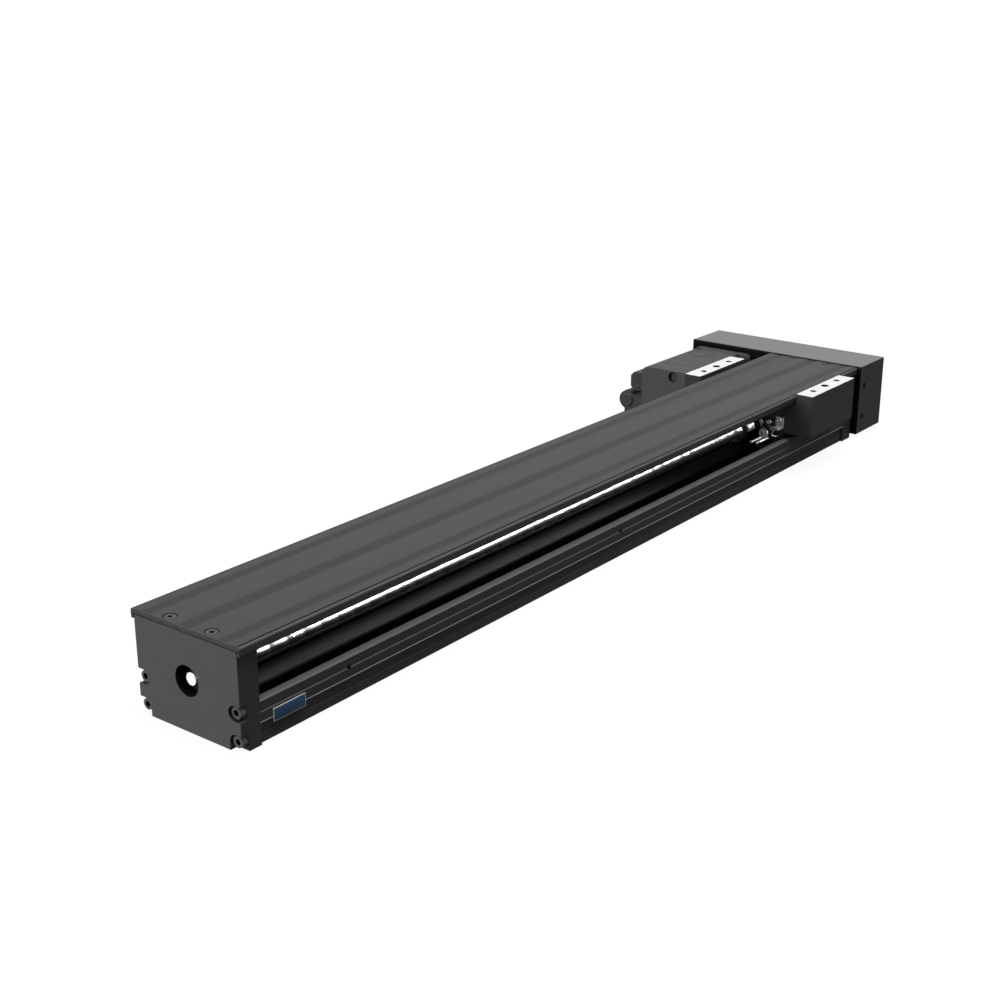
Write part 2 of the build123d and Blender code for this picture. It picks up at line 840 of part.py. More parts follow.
idle_start = -half_length - idle_pocket_depth
idle_outer, idle_inner, idle_balls = bearing(idle_start, idle_bearing_width, idle_bearing_outer,
                                             idle_journal_radius, 8)
save("idle_bearing_outer_ring", idle_outer)
save("idle_bearing_inner_ring", idle_inner)
save("idle_bearing_balls", *idle_balls)

drive_outer = []
drive_inner = []
drive_balls = []
for i in range(drive_bearing_count):
    start = drive_seat + i * drive_bearing_width
    outer, inner, balls = bearing(start, drive_bearing_width, drive_bearing_outer,
                                  drive_journal_radius, 9)
    drive_outer.append(outer)
    drive_inner.append(inner)
    drive_balls.extend(balls)
save("drive_bearing_outer_rings", *drive_outer)
save("drive_bearing_inner_rings", *drive_inner)
save("drive_bearing_balls", *drive_balls)

retainer = along_x(plate_out, plate_out + retainer_thickness, retainer_radius, 0, screw_height)
retainer -= along_x(plate_out - 1, plate_out + retainer_thickness + 1, retainer_bore, 0, screw_height)
for y, z in retainer_screw_places():
    retainer -= along_x(plate_out - 1, plate_out + retainer_thickness + 1, m3_radius + hole_gap, y, z)
save("bearing_retainer", retainer)

retainer_screw = cap_screw(m3_radius, m3_length + retainer_thickness - 1, m3_head_radius,
                           m3_head_height, m3_socket_width)
save("retainer_screws", *[facing(retainer_screw, plate_out + retainer_thickness, y, z, "+X")
                          for y, z in retainer_screw_places()])

lock_nut = along_x(plate_out, plate_out + lock_nut_length, lock_nut_radius, 0, screw_height)
lock_nut -= along_x(plate_out - 1, plate_out + lock_nut_length + 1, drive_journal_radius, 0, screw_height)
for i in range(4):
    slot = block((plate_out - 1, plate_out + lock_nut_length + 1),
                 (lock_nut_radius - lock_nut_slot_depth, lock_nut_radius + 1),
                 (-lock_nut_slot_width / 2, lock_nut_slot_width / 2))
    lock_nut -= Pos(0, 0, screw_height) * Rot(90 * i, 0, 0) * slot
save("lock_nut", lock_nut)


# Belt housing: a thick plate that carries the motor, and a cover over the belt

opening_radius = retainer_radius + 2.0
inner_right = housing_right + housing_wall
inner_left = housing_left - housing_wall
inner_bottom = housing_bottom + housing_wall
inner_top = housing_top - housing_wall


def motor_screw_places():
    return [(motor_y + a * motor_hole_offset, screw_height + b * motor_hole_offset)
            for a in (-1, 1) for b in (-1, 1)]


def housing_screw_places():
    """Side screws that hold the belt cover on the edge of the plate."""
    return [(side, z) for side in (-1, 1) for z in housing_screw_heights]


def belt_plate():
    body = block((plate_out, belt_plate_back), (inner_right, inner_left), (inner_bottom, inner_top))
    body -= along_x(plate_out - 1, belt_plate_back + 1, opening_radius, 0, screw_height)
    body -= along_x(plate_out - 1, belt_plate_back + 1, motor_pilot_radius + running_gap, motor_y,
                    screw_height)
    for y, z in motor_screw_places():
        body -= along_x(plate_out - 1, belt_plate_back - motor_screw_margin, m6_radius, y, z)
    for y, z in belt_plate_screw_places():
        body -= along_x(plate_out - 1, belt_plate_back + 1, m6_radius + hole_gap, y, z)
        body -= along_x(belt_plate_back - m6_head_height, belt_plate_back + 1,
                        m6_head_radius + hole_gap, y, z)
    for side, z in housing_screw_places():
        x = plate_out + housing_screw_inset
        edge = inner_left if side > 0 else inner_right
        start, end = sorted((edge + side, edge - side * m3_length))
        body -= along_y(start, end, m3_radius, x, z)
    return body


def belt_cover():
    outer = block((plate_out, housing_back), (housing_right, housing_left),
                  (housing_bottom, housing_top))
    outer = fillet(outer.edges().filter_by(Axis.X), housing_edge_radius)
    body = outer - block((plate_out - 1, housing_back - housing_wall), (inner_right, inner_left),
                         (inner_bottom, inner_top))
    for side, z in housing_screw_places():
        x = plate_out + housing_screw_inset
        face = housing_left if side > 0 else housing_right
        start, end = sorted((face + side, face - side * (housing_wall + 1)))
        body -= along_y(start, end, m3_radius + hole_gap, x, z)
        start, end = sorted((face + side, face - side * m3_flat_head_height))
        body -= along_y(start, end, m3_head_radius + hole_gap, x, z)
    return body


save("belt_plate", belt_plate())
save("belt_cover", belt_cover())

belt_plate_screw = cap_screw(m6_radius, belt_plate_thickness - m6_head_height + belt_plate_screw_grip,
                             m6_head_radius, m6_head_height, m6_socket_width)
save("belt_plate_screws", *[facing(belt_plate_screw, belt_plate_back - m6_head_height, y, z, "+X")
                            for y, z in belt_plate_screw_places()])

side_screw = cap_screw(m3_radius, m3_length - m3_flat_head_height, m3_head_radius,
                       m3_flat_head_height, m3_socket_width)
side_screws = []
for side, z in housing_screw_places():
    face = housing_left if side > 0 else housing_right
    side_screws.append(facing(side_screw, plate_out + housing_screw_inset,
                              face - side * m3_flat_head_height, z, "+Y" if side > 0 else "-Y"))
save("belt_cover_screws", *side_screws)


# Timing belt drive

def pulley(y, bore):
    """A toothed pulley with flanges, and a hub towards the motor's side."""
    body = along_x(pulley_start, pulley_end, pulley_radius, y, screw_height)
    for start in (pulley_start - pulley_flange_thickness, pulley_end):
        body += along_x(start, start + pulley_flange_thickness, pulley_radius + pulley_flange_rise, y,
                        screw_height)
    hub_start = plate_out + lock_nut_length + pulley_hub_gap
    body += along_x(hub_start, pulley_start, pulley_hub_radius, y, screw_height)
    gap = Box(pulley_end - pulley_start, tooth_depth * 2, tooth_width,
              align=(Align.MIN, Align.CENTER, Align.CENTER))
    gaps = []
    for i in range(pulley_teeth):
        gaps.append(Pos(pulley_start, y, screw_height) * Rot(360 * i / pulley_teeth, 0, 0)
                    * Pos(0, pulley_radius, 0) * gap)
    body -= gaps
    return body - along_x(hub_start - 1, pulley_shaft_end, bore, y, screw_height)


def timing_belt():
    """The loop round both pulleys, with its teeth on the two free runs."""
    inner = pulley_radius + belt_running_gap
    outer = inner + belt_back
    loop = None
    for radius in (outer, inner):
        ends = [along_x(belt_start, belt_start + belt_width, radius, y, screw_height)
                for y in (0.0, motor_y)]
        run = block((belt_start, belt_start + belt_width), (0.0, motor_y),
                    (screw_height - radius, screw_height + radius))
        solid = ends[0] + ends[1] + run
        loop = solid if loop is None else loop - solid
    free_teeth = int((motor_y - 4 * belt_pitch) / belt_pitch)
    first = (motor_y - (free_teeth - 1) * belt_pitch) / 2
    for i in range(free_teeth):
        y = first + i * belt_pitch
        for side in (-1, 1):
            edge = screw_height + side * inner
            zs = sorted((edge + side * 0.2, edge - side * tooth_depth))
            loop += block((belt_start, belt_start + belt_width), (y - tooth_width / 2 + 0.2,
                          y + tooth_width / 2 - 0.2), zs)
    return loop


save("screw_pulley", pulley(0.0, pulley_shaft_radius))
save("motor_pulley", pulley(motor_y, motor_shaft_radius))
save("timing_belt", timing_belt())


# Motor

def motor_section(corner, start, end):
    """A rounded square bar on the motor's axis."""
    shape = RectangleRounded(motor_size, motor_size, corner)
    bar = extrude(shape, end - start)
    return Pos(start, motor_y, screw_height) * Rot(0, 90, 0) * bar


rear_end = motor_rear + motor_rear_length
shaft_room = motor_shaft_radius + motor_shaft_gap


def motor_front():
    body = motor_section(motor_flange_corner, motor_flange_front, plate_out)
    body += along_x(plate_out, plate_out + motor_pilot_height, motor_pilot_radius, motor_y, screw_height)
    for y, z in motor_screw_places():
        body -= along_x(motor_flange_front - 1, plate_out + 1, m6_radius + hole_gap, y, z)
    return body - along_x(motor_flange_front - 1, plate_out + motor_pilot_height + 1, shaft_room,
                          motor_y, screw_height)


def motor_body():
    body = motor_section(motor_corner_radius, rear_end, motor_flange_front)
    scallop = motor_flange_front - motor_scallop_length
    for y, z in motor_screw_places():
        body -= along_x(scallop, motor_flange_front + 1, motor_scallop_radius, y, z)
        out_y = math.copysign(motor_half, y - motor_y)
        out_z = math.copysign(motor_half, z - screw_height)
        body -= block((scallop, motor_flange_front + 1), sorted((y, y + out_y)),
                      sorted((z - math.copysign(motor_scallop_radius, out_z), z + out_z)))
        body -= block((scallop, motor_flange_front + 1),
                      sorted((y - math.copysign(motor_scallop_radius, out_y), y + out_y)),
                      sorted((z, z + out_z)))
    return body - along_x(rear_end - 1, motor_flange_front + 1, shaft_room, motor_y, screw_height)


def motor_rear_cover():
    body = motor_section(motor_corner_radius, motor_rear, rear_end)
    step = motor_section(motor_corner_radius, rear_end - motor_seam, rear_end)
    inner_size = motor_size - 2 * motor_seam
    inset = extrude(RectangleRounded(inner_size, inner_size, motor_corner_radius - motor_seam),
                    motor_seam)
    inset = Pos(rear_end - motor_seam, motor_y, screw_height) * Rot(0, 90, 0) * inset
    body -= step - inset
    body -= along_x(motor_rear - 1, motor_rear + rear_recess_depth, rear_recess_radius,
                    motor_y + rear_recess_y, screw_height + rear_recess_z)
    return body - along_x(motor_rear + motor_rear_wall, rear_end + 1, shaft_room, motor_y,
                          screw_height)


save("motor_flange", motor_front())
save("motor_body", motor_body())
save("motor_rear_cover", motor_rear_cover())

motor_shaft_end = pulley_end + pulley_flange_thickness
save("motor_shaft", along_x(motor_rear + motor_shaft_start, motor_shaft_end, motor_shaft_radius,
                            motor_y, screw_height))

motor_screw_length = motor_flange_thickness + belt_plate_thickness - 2 * motor_screw_margin
motor_screw = cap_screw(m6_radius, motor_screw_length, m6_head_radius, m6_head_height,
                        m6_socket_width)
save("motor_screws", *[facing(motor_screw, motor_flange_front, y, z, "-X")
                       for y, z in motor_screw_places()])

motor_side = motor_y + motor_half
signal_plug = block((motor_rear, motor_rear + signal_plug_length),
                    (motor_side, motor_side + signal_plug_depth), (signal_plug_bottom, signal_plug_top))
signal_plug = chamfer(signal_plug.edges().filter_by(Axis.X).sort_by(Axis.Y)[-2:],
                      signal_plug_chamfer)
save("signal_connector", signal_plug)

power_y = motor_side + power_base_depth + power_plug_overhang - power_plug_radius
power_base = block((motor_rear, motor_rear + power_plug_length),
                   (motor_side, motor_side + power_base_depth), (power_base_bottom, power_base_top))
power_neck = block((motor_rear, motor_rear + power_plug_length), (motor_side, power_y),
                   (power_plug_height - power_neck_half, power_plug_height + power_neck_half))
power_plug = along_x(motor_rear, motor_rear + power_plug_length, power_plug_radius, power_y,
                     power_plug_height)
save("power_connector", power_base + power_neck + power_plug)
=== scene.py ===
import math

import bmesh
import bpy
from mathutils import Matrix, Vector


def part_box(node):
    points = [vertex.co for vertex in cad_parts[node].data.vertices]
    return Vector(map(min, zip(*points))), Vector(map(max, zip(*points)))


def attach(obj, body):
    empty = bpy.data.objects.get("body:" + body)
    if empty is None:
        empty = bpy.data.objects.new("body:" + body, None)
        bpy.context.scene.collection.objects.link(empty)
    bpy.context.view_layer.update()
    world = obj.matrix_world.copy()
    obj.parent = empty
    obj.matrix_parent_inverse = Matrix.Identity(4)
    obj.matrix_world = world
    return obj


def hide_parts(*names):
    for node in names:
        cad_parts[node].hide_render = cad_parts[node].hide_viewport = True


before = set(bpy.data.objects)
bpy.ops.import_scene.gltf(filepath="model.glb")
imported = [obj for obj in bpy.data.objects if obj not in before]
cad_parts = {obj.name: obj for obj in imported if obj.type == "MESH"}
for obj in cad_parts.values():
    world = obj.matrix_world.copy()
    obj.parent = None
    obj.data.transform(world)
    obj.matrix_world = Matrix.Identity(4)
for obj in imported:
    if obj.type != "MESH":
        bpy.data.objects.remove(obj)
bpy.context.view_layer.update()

# Ball screw linear module. Lengths are in metres, in the same frame as the solids.
MM = 0.001


# Places and sizes read from the frame

def box(node):
    """Lowest and highest corner of a node, as two vectors."""
    low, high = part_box(node)
    return Vector(low), Vector(high)


base_low, base_high = box("base_extrusion")
cover_low, cover_high = box("top_cover")
plate_low, plate_high = box("near_end_plate")
ears_low, ears_high = box("carriage_block")
housing_low, housing_high = box("belt_cover")
motor_low, motor_high = box("motor_rear_cover")
plug_low, plug_high = box("power_connector")
signal_low, signal_high = box("signal_connector")
grease_low, grease_high = box("grease_fitting")
side_screws_low, side_screws_high = box("belt_cover_screws")
side_screws_middle = (side_screws_low + side_screws_high) / 2
cover_screws_high = box("cover_screws")[1]
plate_screws_low = box("near_plate_screws")[0]
idle_ring_low = box("idle_bearing_outer_ring")[0]
drive_ring_low = box("drive_bearing_inner_rings")[0]
lock_nut_high = box("lock_nut")[1]
nut_low = box("ball_nut")[0]

screw_low, screw_high = box("ball_screw")
screw_y = (screw_low.y + screw_high.y) / 2
screw_z = (screw_low.z + screw_high.z) / 2


# Materials

class Tree:
    """A new material's node tree, with short names for the nodes that repeat."""

    def __init__(self, name, roughness, metallic=0.0, specular=0.5):
        self.material = bpy.data.materials.new(name)
        self.material.use_nodes = True
        self.nodes = self.material.node_tree.nodes
        self.links = self.material.node_tree.links
        self.shader = self.nodes["Principled BSDF"]
        self.shader.inputs["Roughness"].default_value = roughness
        self.shader.inputs["Metallic"].default_value = metallic
        self.shader.inputs["Specular IOR Level"].default_value = specular

    def put(self, socket, value):
        """Feeds a socket from another socket, a number or an RGB triple."""
        if isinstance(value, bpy.types.NodeSocket):
            self.links.new(value, socket)
        elif isinstance(value, tuple):
            socket.default_value = (*value, 1.0)
        else:
            socket.default_value = value

    def dress(self, name, value):
        """Feeds one of the shader's sockets."""
        self.put(self.shader.inputs[name], value)

    def axis(self, name):
        """One Object coordinate as a value."""
        coordinates = self.nodes.new("ShaderNodeTexCoord")
        split = self.nodes.new("ShaderNodeSeparateXYZ")
        self.put(split.inputs["Vector"], coordinates.outputs["Object"])
        return split.outputs[name]

    def noise(self, scale, detail, stretch=(1.0, 1.0, 1.0)):
        """Noise on Object coordinates, stretched along the axes."""
        coordinates = self.nodes.new("ShaderNodeTexCoord")
        mapping = self.nodes.new("ShaderNodeMapping")
        mapping.inputs["Scale"].default_value = stretch
        noise = self.nodes.new("ShaderNodeTexNoise")
        noise.inputs["Scale"].default_value = scale
        noise.inputs["Detail"].default_value = detail
        self.put(mapping.inputs["Vector"], coordinates.outputs["Object"])
        self.put(noise.inputs["Vector"], mapping.outputs["Vector"])
        return noise.outputs["Fac"]

    def ramp(self, factor, low, high, start=0.35, end=0.65):
        """A colour ramp over a factor, from low to high."""
        node = self.nodes.new("ShaderNodeValToRGB")
        for stop, place, colour in zip(node.color_ramp.elements, (start, end), (low, high)):
            stop.position = place
            stop.color = (*colour, 1.0)
        self.put(node.inputs["Fac"], factor)
        return node.outputs["Color"]

    def rescale(self, value, low, high, start=0.0, end=1.0, smooth=False):
        """Carries a value from the range start to end over to the range low to high."""
        node = self.nodes.new("ShaderNodeMapRange")
        if smooth:
            node.interpolation_type = "SMOOTHSTEP"
        node.inputs["From Min"].default_value = start
        node.inputs["From Max"].default_value = end
        node.inputs["To Min"].default_value = low
        node.inputs["To Max"].default_value = high
        self.put(node.inputs["Value"], value)
        return node.outputs["Result"]

    def falloff(self, value, full, none):
        """1 up to the value full, falling smoothly to 0 at none."""
        return self.rescale(value, 1.0, 0.0, full, none, smooth=True)

    def relief(self, height, strength, distance, edge):
        """A fine relief, on edges that are broken by a small radius (mm)."""
        node = self.nodes.new("ShaderNodeBump")
        node.inputs["Strength"].default_value = strength
        node.inputs["Distance"].default_value = distance
        self.put(node.inputs["Height"], height)
        soft_edge = self.nodes.new("ShaderNodeBevel")
        soft_edge.samples = 4
        soft_edge.inputs["Radius"].default_value = edge * MM
        self.put(node.inputs["Normal"], soft_edge.outputs["Normal"])
        return node.outputs["Normal"]

    def maths(self, operation, first, second=None):
        """A Math node; each input is a socket or a number."""
        node = self.nodes.new("ShaderNodeMath")
        node.operation = operation
        self.put(node.inputs[0], first)
        if second is not None:
            self.put(node.inputs[1], second)
        return node.outputs["Value"]

    def below(self, value, limit):
        """1 where a value is below a limit."""
        return self.maths("LESS_THAN", value, limit)

    def above(self, value, limit):
        """1 where a value is above a limit."""
        return self.maths("GREATER_THAN", value, limit)

    def both(self, first, second):
        """1 where two masks are both 1."""
        return self.maths("MULTIPLY", first, second)

    def off(self, value, middle=0.0):
        """How far a value is from a middle, either way."""
        return self.maths("ABSOLUTE", self.maths("SUBTRACT", value, middle))

    def radius(self, first, first_place, second, second_place):
        """Distance from a line parallel to an axis, from the two coordinates across it."""
        squares = [self.maths("POWER", self.maths("SUBTRACT", value, place), 2.0)
                   for value, place in ((first, first_place), (second, second_place))]
        return self.maths("SQRT", self.maths("ADD", *squares))

    def blend(self, factor, first, second):
        """A mix of two colours; each is a socket or an RGB triple."""
        node = self.nodes.new("ShaderNodeMix")
        node.data_type = "RGBA"
        self.put(node.inputs["Factor"], factor)
        self.put(node.inputs["A"], first)
        self.put(node.inputs["B"], second)
        return node.outputs["Result"]

    def scaled(self, colour, gain):
        """A colour times a value."""
        node = self.nodes.new("ShaderNodeVectorMath")
        node.operation = "SCALE"
        self.put(node.inputs[0], colour)
        self.put(node.inputs["Scale"], gain)
        return node.outputs["Vector"]


def grey(value):
    """A grey with a slight cool cast."""
    return (value, value * 1.005, value * 1.015)


# Light and shade painted on the finishes: their tones, and their places on the pieces
# Painted shade: the black inside holes and sockets
HOLE_PAINTED_SHADE = grey(0.002)

# The cover: a shallow groove in the middle and one by each side, painted darker as shade, from full
# tone to none
COVER_SKIN = 1.0 * MM
COVER_GROOVE = (4.5 * MM, 8.5 * MM)
COVER_SIDE_GROOVE_Y = 44.0 * MM
COVER_SIDE_GROOVE = (3.0 * MM, 7.0 * MM)
# Painted light: the cover grows lighter by this gain towards the drive end
COVER_DRIVE_END_PAINTED_LIGHT_GAIN = 1.22
COVER_LIP_DROP = 2.0 * MM
COVER_FOOT = (0.2 * MM, 1.4 * MM)
COVER_CREASE_INSET = 1.9 * MM
COVER_CREASE = (0.75 * MM, 1.05 * MM)
COVER_BEAD_DROP = 2.6 * MM
# Painted shade in the grooves, on the lips and at their feet, a painted shadow in the crease, a
# painted highlight on the beads and painted light on the cover's end
GROOVE_PAINTED_SHADE = grey(0.046)
LIP_PAINTED_SHADE = grey(0.055)
FOOT_PAINTED_SHADE = grey(0.020)
CREASE_PAINTED_SHADOW = grey(0.010)
BEAD_PAINTED_HIGHLIGHT = grey(0.150)
COVER_END_PAINTED_LIGHT = grey(0.095)

# The cover's screws, with painted shade in their countersinks and their sockets
COVER_SCREW_RADIUS = 5.0 * MM
COVER_SINK_RADIUS = 6.1 * MM
COVER_SOCKET_RADIUS = 2.4 * MM
SINK_PAINTED_SHADE = grey(0.010)
cover_screw_x = cover_screws_high.x - COVER_SCREW_RADIUS
cover_screw_y = cover_screws_high.y - COVER_SCREW_RADIUS

# The idle end: its plate's screws stand at two heights, this far in from the base's sides
PLATE_SCREW_INSET = 6.15 * MM
PLATE_SCREW_MIDDLE = 20.7 * MM
PLATE_SCREW_HALF = 12.4 * MM
PLATE_SOCKET_RADIUS = 3.35 * MM
# Painted light on the plate's end face, painted shade in the seam under the cover's end and inside
# the bore
END_FACE_DEPTH = 0.45 * MM
END_FACE_PAINTED_LIGHT = grey(0.130)
SEAM_HALF = 0.42 * MM
SEAM_PAINTED_SHADE = grey(0.012)
BORE_RADIUS = 14.2 * MM
BORE_PAINTED_SHADE = (0.006, 0.006, 0.006)

# The nut's flange round its ground body, painted dark as shade, as is the nut's underside
NUT_BODY_RADIUS = 18.3 * MM
FLANGE_PAINTED_SHADE = grey(0.020)
NUT_UNDERSIDE_PAINTED_SHADE = grey(0.010)

# The extrusion's channel, painted dark as shade, and the painted light on its middle deck, from
# full to none
CHANNEL_WALL = 9.6 * MM
CHANNEL_PAINTED_SHADE = grey(0.004)
DECK_PAINTED_LIGHT = grey(0.200)
DECK_HALF = 12.5 * MM
DECK_TOP = 22.0 * MM
DECK_LIGHT_ACROSS = (-14.0 * MM, 14.0 * MM)
DECK_LIGHT_ALONG = (-20.0 * MM, 240.0 * MM)
DECK_LIGHT_DEPTH = (0.1 * MM, 3.5 * MM)

# The extrusion's wall tops with painted light, and the small holes along its sides with painted
# shade
WALL_TOP_SKIN = 0.9 * MM
WALL_TOP_PAINTED_LIGHT = grey(0.185)
SIDE_SKIN = 2.8 * MM
SIDE_HOLES = (0.0, 400.0 * MM)
SIDE_HOLE_HEIGHT = 28.9 * MM
SIDE_HOLE_RADIUS = 2.2 * MM
SIDE_HOLE_PAINTED_SHADE = grey(0.003)
# Heights of the painted highlights along the sides and half their widths, in mm, and their tones
SIDE_LINE_PAINTED_HIGHLIGHTS = ((28.4, 0.55, grey(0.18)), (18.8, 1.15, grey(0.50)), (8.6, 0.45, grey(0.10)))

# The housing's top with painted light, the edge of its face with painted shade, and the gaps round
# its side screws with painted shade
HOUSING_TOP_SKIN = 0.25 * MM
HOUSING_TOP_PAINTED_LIGHT = grey(0.215)
HOUSING_FACE_SKIN = 0.2 * MM
HOUSING_FACE_PAINTED_SHADE = grey(0.006)
SIDE_SCREW_GAP = 0.9 * MM
SIDE_SCREW_PAINTED_SHADE = grey(0.004)

# Painted light on the rear face of the motor's cover
MOTOR_END_SKIN = 0.3 * MM
MOTOR_END_PAINTED_LIGHT = grey(0.100)


def end_face(tree):
    """1 on the outer face of the idle end, which takes painted light, and painted shade in its
    seam.
    """
    return tree.below(tree.axis("X"), plate_low.x + END_FACE_DEPTH)


def seam_painted_shade(tree, colour):
    """The seam between the cover's end and the plate under it, painted dark as the shade in its
    gap.
    """
    seam = tree.below(tree.off(tree.axis("Z"), plate_high.z), SEAM_HALF)
    return tree.blend(tree.both(seam, end_face(tree)), colour, SEAM_PAINTED_SHADE)


def cover_screw_distance(tree):
    """Distance from the axis of the nearest of the four cover screws."""
    return tree.radius(tree.off(tree.axis("X")), cover_screw_x,
                       tree.off(tree.axis("Y")), cover_screw_y)


def cover_painted_shading(tree, colour):
    """Painted shade in the cover's grooves, on its lips and their feet, in its crease and
    countersinks; a painted highlight on its beads; painted light on its end and towards the drive
    end.
    """
    across = tree.off(tree.axis("Y"))
    height = tree.axis("Z")
    top = tree.above(height, cover_high.z - COVER_SKIN)
    side = tree.above(across, cover_high.y - COVER_SKIN)
    side_groove = tree.falloff(tree.off(across, COVER_SIDE_GROOVE_Y), *COVER_SIDE_GROOVE)
    grooves = tree.maths("MAXIMUM", tree.falloff(across, *COVER_GROOVE), side_groove)
    colour = tree.blend(tree.both(grooves, top), colour, GROOVE_PAINTED_SHADE)
    # Painted light, growing towards the drive end
    colour = tree.scaled(colour, tree.rescale(tree.axis("X"), 1.0, COVER_DRIVE_END_PAINTED_LIGHT_GAIN,
                                              base_low.x, base_high.x))
    lip = tree.below(height, cover_high.z - COVER_LIP_DROP)
    foot = tree.falloff(height, *(cover_low.z + place for place in COVER_FOOT))
    crease = tree.falloff(tree.off(across, cover_high.y - COVER_CREASE_INSET), *COVER_CREASE)
    bead = tree.above(height, cover_high.z - COVER_BEAD_DROP)
    for mask, part, tone in ((lip, side, LIP_PAINTED_SHADE), (foot, side, FOOT_PAINTED_SHADE),
                             (crease, top, CREASE_PAINTED_SHADOW), (bead, side, BEAD_PAINTED_HIGHLIGHT)):
        colour = tree.blend(tree.both(mask, part), colour, tone)
    colour = seam_painted_shade(tree, tree.blend(end_face(tree), colour, COVER_END_PAINTED_LIGHT))
    sink = tree.below(cover_screw_distance(tree), COVER_SINK_RADIUS)
    return tree.blend(sink, colour, SINK_PAINTED_SHADE)


def cover_socket_painted_shade(tree, colour):
    """The hexagon sockets of the cover screws, painted black inside as shade."""
    inside = tree.below(cover_screw_distance(tree), COVER_SOCKET_RADIUS)
    return tree.blend(inside, colour, HOLE_PAINTED_SHADE)


def plate_socket_painted_shade(tree, colour):
    """The sockets of the cap screws in the idle end's plate, painted black inside as shade."""
    radius = tree.radius(tree.off(tree.axis("Y")), base_high.y - PLATE_SCREW_INSET,
                         tree.off(tree.axis("Z"), PLATE_SCREW_MIDDLE), PLATE_SCREW_HALF)
    sunk = tree.above(tree.axis("X"), plate_screws_low.x + 0.2 * MM)
    inside = tree.both(tree.below(radius, PLATE_SOCKET_RADIUS), sunk)
    return tree.blend(inside, colour, HOLE_PAINTED_SHADE)


def plate_painted_shading(tree, colour):
    """Painted light on the plate's end face, and painted shade in its seam and inside its bore."""
    radius = tree.radius(tree.axis("Y"), screw_y, tree.axis("Z"), screw_z)
    behind = tree.above(tree.axis("X"), plate_low.x + 0.3 * MM)
    colour = seam_painted_shade(tree, tree.blend(end_face(tree), colour, END_FACE_PAINTED_LIGHT))
    return tree.blend(tree.both(tree.below(radius, BORE_RADIUS), behind), colour, BORE_PAINTED_SHADE)


def nut_painted_shading(tree, colour):
    """Painted shade on the nut's flange, round the ground body, and underneath."""
    radius = tree.radius(tree.axis("Y"), screw_y, tree.axis("Z"), screw_z)
    colour = tree.blend(tree.above(radius, NUT_BODY_RADIUS), colour, FLANGE_PAINTED_SHADE)
    return tree.blend(tree.below(tree.axis("Z"), screw_z), colour, NUT_UNDERSIDE_PAINTED_SHADE)


def in_channel(tree):
    """1 between the inner faces of the extrusion's two walls."""
    return tree.below(tree.off(tree.axis("Y")), base_high.y - CHANNEL_WALL)


def deck_light(tree):
    """How much light reaches the middle deck: from its far side up to its near one."""
    across = tree.falloff(tree.axis("Y"), *DECK_LIGHT_ACROSS)
    along = tree.falloff(tree.axis("X"), *DECK_LIGHT_ALONG)
    deck = tree.both(tree.below(tree.off(tree.axis("Y")), DECK_HALF),
                     tree.falloff(tree.off(tree.axis("Z"), DECK_TOP), *DECK_LIGHT_DEPTH))
    return tree.both(deck, tree.both(across, along))


def channel_dullness(tree, roughness):
    """The extrusion's roughness: dull inside the channel, but for the lit side of its deck."""
    unlit = tree.maths("SUBTRACT", 1.0, deck_light(tree))
    return tree.maths("MAXIMUM", roughness, tree.both(in_channel(tree), unlit))


def extrusion_painted_shading(tree, colour):
    """Painted shade in the channel and painted light on its deck; painted light on the wall tops
    and painted highlights along the groove edges; painted shade in the side holes.
    """
    inside = tree.blend(deck_light(tree), CHANNEL_PAINTED_SHADE, DECK_PAINTED_LIGHT)
    colour = tree.blend(in_channel(tree), colour, inside)
    top = tree.above(tree.axis("Z"), base_high.z - WALL_TOP_SKIN)
    colour = tree.blend(top, colour, WALL_TOP_PAINTED_LIGHT)
    outside = tree.above(tree.off(tree.axis("Y")), base_high.y - SIDE_SKIN)
    for height, half, tone in SIDE_LINE_PAINTED_HIGHLIGHTS:
        line = tree.below(tree.off(tree.axis("Z"), height * MM), half * MM)
        colour = tree.blend(tree.both(outside, line), colour, tone)
    for place in SIDE_HOLES:
        radius = tree.radius(tree.off(tree.axis("X")), place, tree.axis("Z"), SIDE_HOLE_HEIGHT)
        hole = tree.both(outside, tree.below(radius, SIDE_HOLE_RADIUS))
        colour = tree.blend(hole, colour, SIDE_HOLE_PAINTED_SHADE)
    return colour


def housing_painted_shading(tree, colour):
    """Painted light on the housing's top, and painted shade in the gaps round its side screws and
    on its face's edge.
    """
    top = tree.above(tree.axis("Z"), housing_high.z - HOUSING_TOP_SKIN)
    colour = tree.blend(top, colour, HOUSING_TOP_PAINTED_LIGHT)
    head = side_screws_high.x - side_screws_middle.x
    radius = tree.radius(tree.axis("X"), side_screws_middle.x,
                         tree.off(tree.axis("Z"), side_screws_middle.z),
                         side_screws_high.z - side_screws_middle.z - head)
    colour = tree.blend(tree.below(radius, head + SIDE_SCREW_GAP), colour, SIDE_SCREW_PAINTED_SHADE)
    face = tree.below(tree.axis("X"), housing_low.x + HOUSING_FACE_SKIN)
    return tree.blend(face, colour, HOUSING_FACE_PAINTED_SHADE)


def motor_painted_shading(tree, colour):
    """Painted light: the rear face of the motor's cover is a little lighter than its sides."""
    end = tree.below(tree.axis("X"), motor_low.x + MOTOR_END_SKIN)
    return tree.blend(end, colour, MOTOR_END_PAINTED_LIGHT)


ALONG_X = (0.04, 1.0, 1.0)


